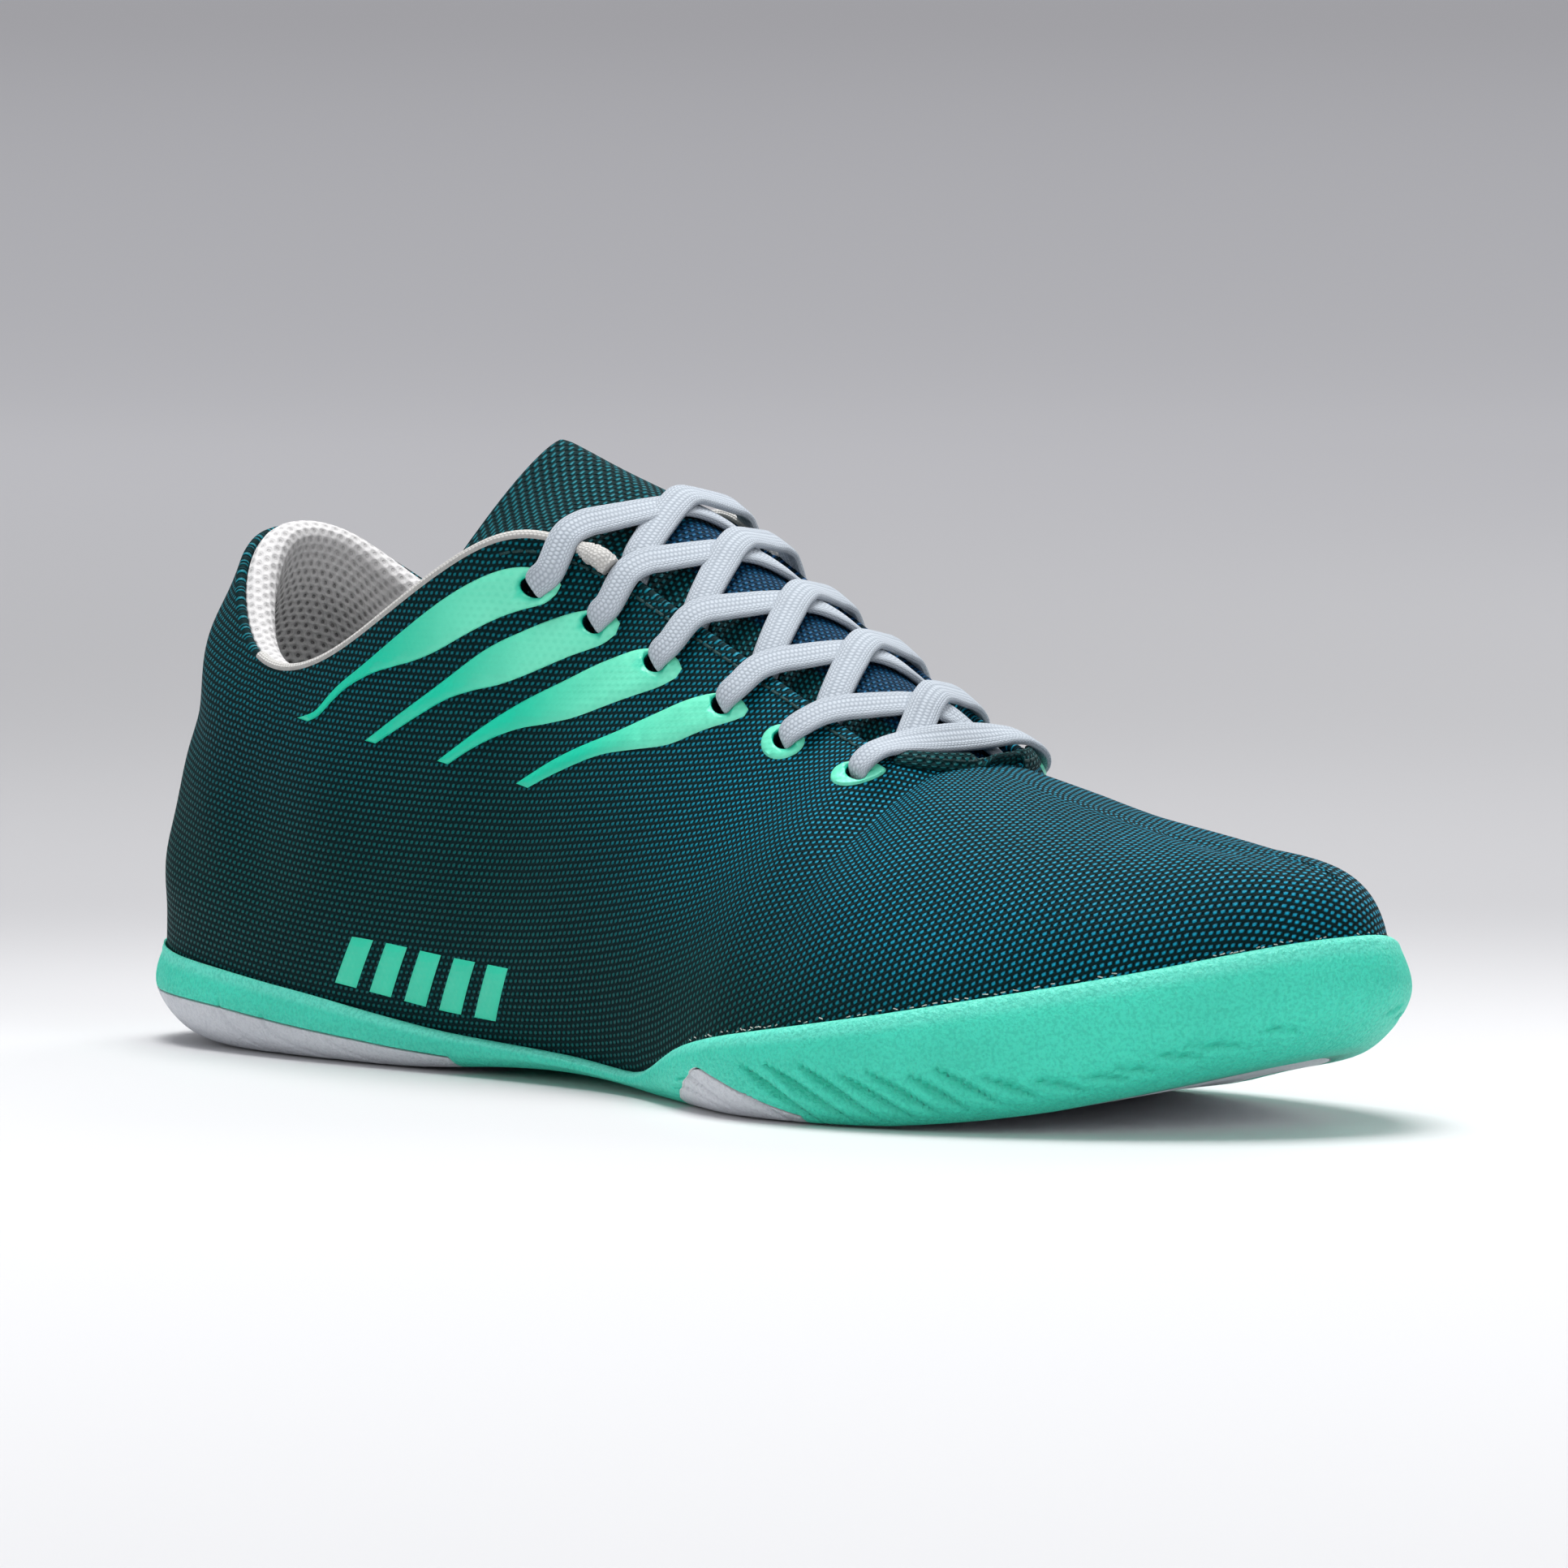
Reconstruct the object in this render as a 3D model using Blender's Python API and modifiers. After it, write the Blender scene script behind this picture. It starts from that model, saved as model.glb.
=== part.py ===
"""Indoor soccer shoe, right foot: cupsole, outsole pads, woven upper, collar
lining, tongue, insole and lace.

Frame: +X from heel to toe, +Y to the inner (medial) side, +Z up.  The origin
lies on the ground under the heel, ORIGIN_X in front of the heel's back.
The pattern tables are in millimetres from the heel's back; every solid is
scaled to metres when it is made.
"""
import bpy
import bmesh
import math
import numpy as np
from mathutils import Vector

# ---------------------------------------------------------------- named sizes
LENGTH = 290.0          # sole, heel back to toe
BALL_WIDTH = 100.0      # sole at the ball
INSTEP_HEIGHT = 98.0    # top of the eyestay over the ground
HEEL_HEIGHT = 93.5      # collar at the heel's back
ORIGIN_X = 45.0         # heel back to the origin
WALL = 2.0              # upper, through the wall
GAP = 0.3               # between pieces that touch
LIP = 1.3               # thickness of the cupsole's upper lip
INSOLE = 3.0            # insole thickness
TONGUE = 3.4            # tongue thickness
LACE_W, LACE_T = 5.2, 2.2
EYELET = 4.4            # eyelet hole
PAD_HEEL, PAD_FORE = 1.8, 2.6

# sizes of the graded pattern, so the tables follow the named sizes
KX, KY = LENGTH / 290.0, BALL_WIDTH / 100.0
KI, KH = INSTEP_HEIGHT / 98.0, HEEL_HEIGHT / 93.5

# ------------------------------------------------------------- last sections
# one row a section, toe tip to heel back.  sx, sy: sole outline; tx, ty, tz:
# vamp ridge, then throat and collar edge (l lateral, m medial); rise, bulge,
# reach, drop, puff: the curve of the wall between them.
COLS = ("sxl", "syl", "sxm", "sym", "txl", "tyl", "tzl", "txm", "tym", "tzm",
        "rise", "bulge", "reach", "drop", "puff")
ROWS = (
    (289.5, 14, 289.5, 14, 247, 7, 49.4, 247, 7, 49.4, 33, 4.4, .70, 0.3, 0),
    (286.0, 1.5, 288.2, 25, 244, 6.5, 50.1, 244, 6.5, 50.1, 33, 4.3, .70, 0.3, 0),
    (277.0, -12.5, 281.0, 35, 239, 6, 51.2, 239, 6, 51.2, 32, 4.0, .68, 0.3, 0),
    (264.5, -26, 268.5, 43, 232, 4.8, 53, 232, 4.8, 53, 31, 3.6, .66, 0.3, 0),
    (249.5, -36.8, 252, 48, 225, 3.3, 54.8, 225, 3.3, 54.8, 30, 3.0, .62, 0.3, 0),
    (233.5, -44.2, 234, 50.6, 217.5, 2.6, 56.9, 217.5, 2.6, 56.9, 30, 2.6, .58, 0.3, 0),
    (217.5, -48.2, 216, 51, 210.5, 3.0, 58.6, 210.5, 3.0, 58.6, 29, 2.6, .56, 0.6, 0),
    (202.5, -49.2, 199.5, 49.5, 206.5, 4.2, 59.6, 206.5, 4.2, 59.6, 28, 2.8, .50, 1.5, 0),
    (188.5, -47, 185, 46.5, 201.5, -9.8, 60.6, 201.5, 18.8, 59.6, 28, 4.0, .46, 4.0, 0),
    (174.0, -41, 170.5, 42.3, 190, -11.8, 63.6, 190, 22.2, 62.9, 28, 8.0, .42, 6.0, 0),
    (159.0, -35.3, 155.5, 37.3, 175, -12.2, 69.8, 175, 23.4, 69.2, 28, 11.0, .42, 7.5, 0),
    (143.0, -31.8, 140, 33, 158, -12.8, 77.2, 158, 24.2, 76.8, 28, 12.0, .42, 9.5, 0),
    (126.5, -30.6, 124, 30.2, 141, -13.6, 84.9, 141, 25.0, 84.7, 28, 12.0, .42, 12.0, 0),
    (110.5, -30.6, 108.5, 28.8, 126.5, -15.8, 92.0, 126.5, 25.2, 92.2, 28, 10.0, .38, 17.0, 0),
    (95.0, -31.5, 93.5, 29.2, 113, -22.0, 96.2, 113, 27.2, 98.0, 28, 8.0, .30, 22.0, 0),
    (80.0, -32.8, 79, 30.4, 99, -26.6, 91.5, 99, 28.2, 95.0, 28, 6.0, .28, 24.0, 0),
    (65.0, -33.8, 64.2, 31.8, 83, -28.8, 82.0, 83, 28.6, 87.0, 26, 5.0, .28, 22.0, 1.0),
    (50.0, -33.8, 49.5, 32.3, 67, -29.6, 73.2, 67, 29.2, 80.0, 24, 4.2, .28, 20.0, 1.8),
    (35.0, -32.8, 34.7, 31.4, 52, -29.1, 70.0, 52, 28.6, 77.0, 24, 3.2, .28, 20.0, 3.0),
    (20.4, -29.9, 20.6, 28.6, 38.3, -25.8, 74.6, 38.5, 25.4, 79.5, 28, 2.3, .30, 22.0, 4.4),
    (8.8, -23.0, 9.4, 22.3, 27.0, -18.6, 84.4, 27.0, 18.6, 87.0, 32, 2.1, .30, 23.0, 4.2),
    (2.2, -12.7, 2.6, 12.2, 20.4, -9.7, 91.4, 20.5, 9.8, 92.0, 32, 2.4, .32, 24.0, 2.2),
    (0.5, 0, 0.5, 0, 18.4, 0, 93.5, 18.4, 0, 93.5, 32, 2.6, .34, 24.0, 1.4),
)
NR = len(ROWS) - 1      # section of the heel's back
THROAT = 7              # section of the throat's lower end

# heights along the length: seat of the upper, top of the lip, ground line
SOLE_COLS = ("x", "seat", "lip", "ground")
SOLE = (
    (0, 12.0, 18.4, 6.0), (12, 11.8, 17.4, 2.8), (25, 11.4, 15.9, 0.7),
    (38, 10.9, 14.7, 0.0), (52, 10.0, 13.1, 0.0), (65, 9.0, 11.7, 0.0),
    (77, 8.0, 9.9, 0.0), (88, 6.7, 8.4, 0.0), (98, 5.7, 7.1, 0.6),
    (110, 4.9, 6.3, 1.5), (124, 4.4, 5.6, 2.0), (136, 3.9, 5.0, 1.8),
    (148, 3.0, 3.9, 1.1), (156, 2.7, 3.5, 0.5), (161, 2.9, 4.4, 0.2),
    (166, 3.4, 6.5, 0.1), (174, 4.2, 9.6, 0.0), (182, 4.7, 11.6, 0.0),
    (192, 5.1, 13.6, 0.0), (204, 5.5, 15.4, 0.0), (217, 6.2, 17.4, 0.0),
    (230, 7.6, 19.6, 0.2), (245, 9.9, 22.6, 1.8), (258, 12.6, 25.3, 4.2),
    (270, 15.4, 28.4, 7.2), (281, 18.4, 32.0, 10.6), (290, 21.0, 35.0, 13.8),
)


def spline(values, closed=False, d0=None, d1=None):
    """Smooth cubic through values at 0, 1, 2, ..."""
    y = np.asarray(values, float)
    n = len(y)
    a, b = np.zeros((n, n)), np.zeros(n)
    if closed:
        for i in range(n):
            a[i, i], a[i, (i - 1) % n], a[i, (i + 1) % n] = 4, 1, 1
            b[i] = 3 * (y[(i + 1) % n] - y[(i - 1) % n])
    else:
        for i in range(1, n - 1):
            a[i, i], a[i, i - 1], a[i, i + 1] = 4, 1, 1
            b[i] = 3 * (y[i + 1] - y[i - 1])
        for i, j, d, s in ((0, 1, d0, 1), (n - 1, n - 2, d1, -1)):
            if d is None:
                a[i, i], a[i, j], b[i] = 2, 1, 3 * s * (y[j] - y[i])
            else:
                a[i, i], b[i] = 1, d
    m = np.linalg.solve(a, b)

    def f(t):
        t = np.asarray(t, float)
        if closed:
            t = t % n
            i = np.floor(t).astype(int) % n
            j = (i + 1) % n
            u = t - np.floor(t)
        else:
            t = np.clip(t, 0, n - 1)
            i = np.minimum(np.floor(t).astype(int), n - 2)
            j, u = i + 1, t - i
        return ((2 * u**3 - 3 * u**2 + 1) * y[i] + (u**3 - 2 * u**2 + u) * m[i]
                + (3 * u**2 - 2 * u**3) * y[j] + (u**3 - u**2) * m[j])
    return f


COL = {c: np.array([r[i] for r in ROWS], float) for i, c in enumerate(COLS)}
for c in ("sxl", "sxm", "txl", "txm"):
    COL[c] *= KX
for c in ("syl", "sym", "tyl", "tym"):
    COL[c] *= KY
grade = KI + (KH - KI) * np.clip((np.arange(NR + 1) - 15) / 5.0, 0, 1)
for c in ("tzl", "tzm", "rise", "drop"):
    COL[c] *= grade


def loop(cl, cm):
    return np.r_[COL[cl], COL[cm][1:NR][::-1]]


def edge(cl, cm):
    return np.r_[COL[cl][THROAT:], COL[cm][THROAT:NR][::-1]]


SX, SY = spline(loop("sxl", "sxm"), True), spline(loop("syl", "sym"), True)
TX = spline(edge("txl", "txm"), d0=-0.3, d1=0.3)
TY = spline(edge("tyl", "tym"), d0=-14.0, d1=-14.0)
TZ = spline(edge("tzl", "tzm"), d0=0.1, d1=-0.1)
RX, RY, RZ = (spline(COL[c][:THROAT + 1], d0=0) for c in ("txl", "tyl", "tzl"))
WALLS = {c: spline(COL[c]) for c in ("rise", "bulge", "reach", "drop", "puff")}


def fold(g):
    """Section number counted from the toe on either side."""
    g = np.asarray(g, float) % (2 * NR)
    return np.where(g > NR, 2 * NR - g, g)


def outline(g, inset=0.0):
    """Sole outline: 0 toe, NR heel back, lateral side first."""
    g = np.asarray(g, float)
    x, y, h = SX(g), SY(g), 1e-3
    dx, dy = SX(g + h) - SX(g - h), SY(g + h) - SY(g - h)
    n = np.hypot(dx, dy)
    ox, oy = -dy / n, dx / n
    return x - ox * inset, y - oy * inset, ox, oy


def level(name, x):
    """A height of the sole table at x, softened between its rows."""
    xs = np.linspace(0, 290, 59)
    i = SOLE_COLS.index(name)
    z = np.interp(xs, [r[0] for r in SOLE], [r[i] for r in SOLE])
    z = np.convolve(np.pad(z, 1, "edge"), [.25, .5, .25], "valid")
    return np.interp(np.asarray(x) / KX, xs, z)


def ground_at(x, y):
    """Ground line; the inner side of the toe springs up a little more."""
    x, y = np.asarray(x, float) / KX, np.asarray(y, float) / KY
    u = np.clip((x - 205) / 45, 0, 1)
    return level("ground", x * KX) + 4.6 * u * u * (3 - 2 * u) * np.clip((y + 25) / 70, 0, 1)


def top(g):
    """Vamp ridge up to the throat, then the throat and collar edge."""
    g = np.asarray(g, float)
    f = fold(g)
    r = np.stack([RX(f), RY(f), RZ(f)], -1)
    e = np.stack([TX(g - THROAT), TY(g - THROAT), TZ(g - THROAT)], -1)
    return np.where((f <= THROAT)[..., None], r, e)


def seat_in(g):
    """Sole edge to the upper's lower edge, more where the toe turns up."""
    return np.interp(fold(g), (0, 3, 6, 8, NR), (4.8, 4.0, 2.6, 2.0, 2.0))


def upper(g, t):
    """Outer face of the upper: section g, 0 at the seat, 1 at the top."""
    g, t = np.broadcast_arrays(np.asarray(g, float), np.asarray(t, float))
    f = fold(g)
    bx, by, ox, oy = outline(g, seat_in(g))
    B = np.stack([bx, by, level("seat", bx)], -1)
    T = top(g)
    out = np.stack([ox, oy, 0 * ox], -1)
    up = np.array([0, 0, 1.0])
    rise, bulge, reach, drop, puff = (WALLS[c](f)[..., None] for c in
                                      ("rise", "bulge", "reach", "drop", "puff"))
    lean = np.stack([(T[..., 0] - B[..., 0]) * 0.15 * np.clip((f - 5) / 3, 0, 1), 0 * bx, 0 * bx], -1)
    P1 = B + up * rise + out * bulge + lean
    P2 = T + (B - T) * np.array([1, 1, 0]) * reach - up * drop + out * puff
    r = np.clip(f, 0, THROAT)
    dx = RX(r + .01) - RX(r - .01)
    m = np.where(np.abs(dx) < 1e-6, -1, (RZ(r + .01) - RZ(r - .01)) / np.where(np.abs(dx) < 1e-6, 1, dx))
    m = np.where(r < .3, -.23, np.clip(m, -.30, 0))
    P2[..., 2] += np.clip((9 - f) / 2, 0, 1) * m * (P2[..., 0] - T[..., 0])
    t = t[..., None]
    return (1 - t)**3 * B + 3 * (1 - t)**2 * t * P1 + 3 * (1 - t) * t * t * P2 + t**3 * T


def skin(g, t, depth):
    """The upper's surface moved inwards by depth."""
    g, t = np.broadcast_arrays(np.asarray(g, float), np.asarray(t, float))
    h = 1e-3
    t0, t1 = np.clip(t - h, 0, 1), np.clip(t + h, 0, 1)
    n = np.cross(upper(g, t1) - upper(g, t0), upper(g + h, t) - upper(g - h, t))
    n /= np.maximum(np.linalg.norm(n, axis=-1, keepdims=True), 1e-12)
    _, _, ox, oy = outline(g)
    s = np.sign(n[..., 0] * ox + n[..., 1] * oy + 0.5 * n[..., 2])
    return upper(g, t) - n * s[..., None] * np.asarray(depth)[..., None]


def lip_t(g):
    """Where on the wall the cupsole's lip ends."""
    g = np.asarray(g, float)
    lo, hi = np.zeros_like(g), np.full_like(g, 0.5)
    x, _, _, _ = outline(g, seat_in(g))
    want = level("lip", x)
    for _ in range(40):
        mid = (lo + hi) / 2
        low = upper(g, mid)[..., 2] < want
        lo, hi = np.where(low, mid, lo), np.where(low, hi, mid)
    return (lo + hi) / 2


# ------------------------------------------------------------------- helpers
for o in list(bpy.data.objects):
    bpy.data.objects.remove(o, do_unlink=True)
for c in list(bpy.data.collections):
    bpy.data.collections.remove(c)
PARTS = bpy.data.collections.new("indoor_soccer_shoe")
CUTTERS = bpy.data.collections.new("cutters")
for c in (PARTS, CUTTERS):
    bpy.context.scene.collection.children.link(c)


def material(name, colour, roughness, metallic=0.0):
    m = bpy.data.materials.new(name)
    m.use_nodes = True
    b = m.node_tree.nodes["Principled BSDF"]
    b.inputs["Base Color"].default_value = (*colour, 1)
    b.inputs["Roughness"].default_value = roughness
    b.inputs["Metallic"].default_value = metallic
    m.diffuse_color = (*colour, 1)
    return m


def to_m(p):
    p = np.asarray(p, float) - np.array([ORIGIN_X, 0, 0])
    return p * 0.001


def add_object(name, bm, mat=None, cutter=False, closed=True):
    bmesh.ops.remove_doubles(bm, verts=bm.verts, dist=1e-6)
    if closed:
        bmesh.ops.recalc_face_normals(bm, faces=bm.faces)
        if bm.calc_volume(signed=True) < 0:
            bmesh.ops.reverse_faces(bm, faces=bm.faces)
    me = bpy.data.meshes.new(name)
    bm.to_mesh(me)
    bm.free()
    me.shade_smooth()
    me.set_sharp_from_angle(angle=math.radians(40))
    o = bpy.data.objects.new(name, me)
    if mat:
        me.materials.append(mat)
    if cutter:
        CUTTERS.objects.link(o)
        o.hide_render = True
        o.display_type = "WIRE"
    else:
        PARTS.objects.link(o)
    return o


def grid_faces(bm, vs, closed):
    """Faces between neighbouring rows of vertices."""
    for a, b in zip(vs[:-1], vs[1:]):
        n = len(a)
        for i in range(n if closed else n - 1):
            j = (i + 1) % n
            q = []
            for v in (a[i], a[j], b[j], b[i]):
                if v not in q:
                    q.append(v)
            if len(q) > 2:
                bm.faces.new(q)


def ring_verts(bm, pts):
    return [bm.verts.new(Vector(p)) for p in to_m(pts)]


def strip_cap(bm, ring, n_half):
    """Closes a left and right ring with strips across it."""
    n = len(ring)
    for i in range(n_half):
        a, b = ring[i], ring[i + 1]
        c, d = ring[(n - i - 1) % n], ring[(n - i) % n]
        q = []
        for v in (a, b, c, d):
            if v not in q:
                q.append(v)
        if len(q) > 2:
            bm.faces.new(q)


def boolean(o, tool, op):
    m = o.modifiers.new(tool.name, "BOOLEAN")
    m.operation, m.object, m.solver = op, tool, "EXACT"
    return m


def prism(name, pts_xz, y0, y1):
    """A side profile in x and z, pulled along y, as a cutter."""
    bm = bmesh.new()
    a = ring_verts(bm, [(x, y0, z) for x, z in pts_xz])
    b = ring_verts(bm, [(x, y1, z) for x, z in pts_xz])
    grid_faces(bm, [a, b], True)
    bm.faces.new(a)
    bm.faces.new(b[::-1])
    return add_object(name, bm, cutter=True)


M_UPPER = material("woven_upper", (0.010, 0.055, 0.060), 0.75)
M_MINT = material("mint_rubber", (0.045, 0.60, 0.40), 0.45)
M_GREY = material("grey_rubber", (0.50, 0.52, 0.54), 0.5)
M_LINING = material("lining", (0.62, 0.62, 0.61), 0.9)
M_LACE = material("lace", (0.55, 0.58, 0.60), 0.8)
M_INSOLE = material("insole", (0.40, 0.41, 0.42), 0.9)

STEP_G = 0.5
G = np.arange(0, 2 * NR, STEP_G)
HALF = int(NR / STEP_G)
TL = lip_t(G)

# ---------------------------------------------------------------- sole form
EDGE_COLS = ("g", "shoulder", "low_inset", "low_rise", "foot_inset")
EDGE = (                       # sidewall below its widest line
    (0, .5, 4.0, 2.4, 10.0), (3, .5, 3.0, 2.6, 7.5), (6, .45, 1.6, 2.6, 4.6),
    (8, .45, 1.2, 2.2, 4.0), (10, .5, 0.9, 1.0, 3.0), (13, .5, 1.0, 1.0, 3.6),
    (16, .5, 1.7, 2.2, 5.0), (19, .5, 2.2, 3.0, 6.5), (22, .5, 2.4, 3.0, 7.0),
)


def edge_of(name, g):
    i = EDGE_COLS.index(name)
    return np.interp(fold(g), [r[0] for r in EDGE], [r[i] for r in EDGE])


def sole_rings():
    bx, by, ox, oy = outline(G, seat_in(G))
    out = np.stack([ox, oy, 0 * ox], -1)
    seat = np.stack([bx, by, level("seat", bx) - GAP], -1) + out * (GAP + .1)
    mid = upper(G, TL / 2) + out * (GAP + .1)
    lip = upper(G, TL) + out * (GAP + .1)
    lipo = lip + out * LIP
    lipo[:, 2] -= 0.2
    x0, y0, _, _ = outline(G)
    ground = ground_at(x0, y0)
    zw = ground + (lipo[:, 2] - ground) * edge_of("shoulder", G)
    wide = np.stack([x0, y0, zw], -1)
    far = (lipo - wide)[:, 0] * ox + (lipo - wide)[:, 1] * oy + 0.25
    wide += out * np.maximum(far, 0)[:, None]
    x1, y1, _, _ = outline(G, edge_of("low_inset", G))
    rise = np.minimum(edge_of("low_rise", G), (zw - ground) * .6)
    low = np.stack([x1, y1, ground_at(x1, y1) + rise], -1)
    x2, y2, _, _ = outline(G, edge_of("foot_inset", G))
    foot = np.stack([x2, y2, ground_at(x2, y2)], -1)
    return [seat, mid, lip, lipo, wide, low, foot]


def sole_form(name, mat=None, cutter=False):
    bm = bmesh.new()
    vs = [ring_verts(bm, r) for r in sole_rings()]
    grid_faces(bm, vs, True)
    strip_cap(bm, vs[0], HALF)
    strip_cap(bm, vs[-1], HALF)
    bmesh.ops.triangulate(bm, faces=[f for f in bm.faces if len(f.verts) > 3])
    return add_object(name, bm, mat, cutter)


def heel_profile(raise_by, ahead):
    """Side line where the mint sole meets the grey heel pad."""
    line = ((-8, 9.9), (12, 9.3), (37, 7.9), (50, 6.7), (64, 5.4), (77, 4.3),
            (88, 3.4), (101, 2.6))
    pts = [(x * KX, z + raise_by) for x, z in line]
    pts[-1] = (pts[-1][0] + ahead, pts[-1][1])
    return [(pts[0][0], -6), *pts, (pts[-1][0], -6)][::-1]


def fore_tool(name, grow):
    """Tool for the forefoot pad: inside the mint wall, toe spring followed."""
    gs = np.r_[np.arange(0, 8.6, .5), np.arange(2 * NR - 8.5, 2 * NR, .5)]
    inset = np.interp(fold(gs), (0, 2, 4, 6), (17.0, 15.0, 10.0, 7.0)) - grow
    thick = np.interp(fold(gs), (0, 3, 6, 8.5), (1.2, 1.4, 2.0, PAD_FORE))
    x, y, _, _ = outline(gs, inset)
    hi = np.stack([x, y, ground_at(x, y) + thick + grow * 1.6], -1)
    lo = hi - np.array([0, 0, 12.0 + PAD_FORE])
    bm = bmesh.new()
    a, b = ring_verts(bm, hi), ring_verts(bm, lo)
    grid_faces(bm, [a, b], True)
    n = len(a)
    for ring in (a, b):
        for i in range(n // 2):
            q = []
            for v in (ring[i], ring[i + 1], ring[(n - i - 1) % n], ring[(n - i) % n]):
                if v not in q:
                    q.append(v)
            if len(q) > 2:
                bm.faces.new(q)
    bmesh.ops.triangulate(bm, faces=[f for f in bm.faces if len(f.verts) > 3])
    return add_object(name, bm, cutter=True)


def wedge_tool(name, grow):
    """The pad's wedge that climbs the outer wall behind the ball."""
    line = ((175, 1.0), (181, 4.6), (187, 7.6), (193, 6.4), (201, 4.2), (213, 1.0))
    pts = [(x * KX + (-grow if i == 0 else grow if i == len(line) - 1 else 0), z + grow)
           for i, (x, z) in enumerate(line)]
    pts = [(pts[0][0], -4), *pts, (pts[-1][0], -4)]
    return prism(name, pts[::-1], -70, -30 + grow)


midsole = sole_form("midsole", M_MINT)
outsole_heel = sole_form("outsole_heel", M_GREY)
outsole_forefoot = sole_form("outsole_forefoot", M_GREY)
boolean(outsole_heel, prism("heel_cut", heel_profile(0, 0), -70, 70), "INTERSECT")
boolean(midsole, prism("heel_seat", heel_profile(GAP, GAP), -70, 70), "DIFFERENCE")
for tool_name, grow, target, op in (("fore_cut", 0.0, outsole_forefoot, "INTERSECT"),
                                    ("fore_seat", GAP, midsole, "DIFFERENCE")):
    tool = fore_tool(tool_name, grow)
    boolean(tool, wedge_tool(tool_name + "_wedge", grow), "UNION")
    boolean(target, tool, op)

# ------------------------------------------------------------------- insole
bm = bmesh.new()
ix, iy, _, _ = outline(G, seat_in(G) + WALL + 0.8)
low = np.stack([ix, iy, level("seat", ix)], -1)
high = low + np.array([0, 0, INSOLE])
vs = [ring_verts(bm, low), ring_verts(bm, high)]
grid_faces(bm, vs, True)
strip_cap(bm, vs[0], HALF)
strip_cap(bm, vs[1], HALF)
bmesh.ops.triangulate(bm, faces=[f for f in bm.faces if len(f.verts) > 3])
insole = add_object("insole", bm, M_INSOLE)

# -------------------------------------------------------------------- upper
UP_ROWS = 8


def upper_t(tl):
    return np.r_[0.0, tl / 2, tl, tl + (1 - tl) * np.arange(1, UP_ROWS + 1) / UP_ROWS]


bm = bmesh.new()
cols = []
for i, g in enumerate(G):
    pts = upper(np.full(UP_ROWS + 3, g), upper_t(TL[i]))
    cols.append(ring_verts(bm, pts))
ridge = int(THROAT / STEP_G)
for i in range(1, ridge + 1):              # one ridge vertex for both sides
    bm.verts.remove(cols[-i][-1])
    cols[-i][-1] = cols[i][-1]
grid_faces(bm, cols + [cols[0]], False)
probe = bm.faces[:]
bmesh.ops.recalc_face_normals(bm, faces=probe)
bm.faces.ensure_lookup_table()
face = max(bm.faces, key=lambda f: f.calc_center_median().x)
if face.normal.x < 0:
    bmesh.ops.reverse_faces(bm, faces=bm.faces)
upper_o = add_object("upper", bm, M_UPPER, closed=False)
s = upper_o.modifiers.new("wall", "SOLIDIFY")
s.thickness, s.offset, s.use_even_offset, s.use_rim = WALL * .001, -1, True, True

# eyelets, bottom to top: section and place on the wall
EYELETS = ((8.25, .86), (9.68, .845), (10.66, .835), (11.70, .835), (12.74, .845), (13.72, .879))


def frame_at(g, t):
    p = upper(g, t)
    n = upper(g, t) - skin(g, t, 1.0)
    return p, n


for k, (g, t) in enumerate(EYELETS):
    for side, gg in (("l", g), ("m", 2 * NR - g)):
        p, n = frame_at(gg, t)
        bm = bmesh.new()
        bmesh.ops.create_cone(bm, cap_ends=True, segments=8, radius1=EYELET / 2 * .001,
                              radius2=EYELET / 2 * .001, depth=0.012)
        o = add_object("eyelet_%s%d" % (side, k + 1), bm, cutter=True)
        o.location = Vector(to_m(p))
        o.rotation_euler = Vector(n).to_track_quat("Z", "Y").to_euler()
        boolean(upper_o, o, "DIFFERENCE")

# ------------------------------------------------------------ collar lining
LINING_ROWS = ((.42, 1.3), (.58, 1.6), (.70, 3.2), (.80, 5.4), (.90, 6.6), (.96, 6.0), (1.0, 4.0))
bm = bmesh.new()
loops = []
for g in np.arange(16.0, 2 * NR - 15.9, 0.5):
    f = float(fold(g))
    k = 0.45 + 0.55 * float(np.clip((f - 15) / 5, 0, 1))
    t = np.array([r[0] for r in LINING_ROWS])
    pad = 1.3 + (np.array([r[1] for r in LINING_ROWS]) - 1.3) * k
    outer = skin(np.full(len(t), g), t, np.full(len(t), WALL + GAP + .1))
    inner = skin(np.full(len(t), g), t, WALL + GAP + .1 + pad)
    loops.append(ring_verts(bm, np.r_[outer, inner[::-1]]))
grid_faces(bm, loops, True)
bm.faces.new(loops[0])
bm.faces.new(loops[-1][::-1])
bmesh.ops.triangulate(bm, faces=[f for f in bm.faces if len(f.verts) > 3])
lining = add_object("collar_lining", bm, M_LINING)

# ------------------------------------------------------------------- tongue
# section, then x and z of the tongue's crest
CREST = ((7.0, 206.2, 56.0), (7.5, 203.0, 56.0), (8, 199.8, 59.2), (9, 191.5, 67.3),
         (10, 176, 74.6), (11, 159, 82.6), (12, 142, 90.8), (13, 128.5, 98.4),
         (14, 114.5, 104.7), (15, 101, 110.8), (15.45, 95.5, 113.2))
TONGUE_G = (5.2, 5.9, 6.6, 8.1, 8.6, 9.3, 10, 11, 12, 13, 14, 14.8, 15.45)
TONGUE_PTS = 11


def along(pts, n):
    d = np.r_[0, np.cumsum(np.linalg.norm(np.diff(pts, axis=0), axis=1))]
    s = np.linspace(0, d[-1], n)
    return np.stack([np.interp(s, d, pts[:, i]) for i in range(3)], -1)


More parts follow.
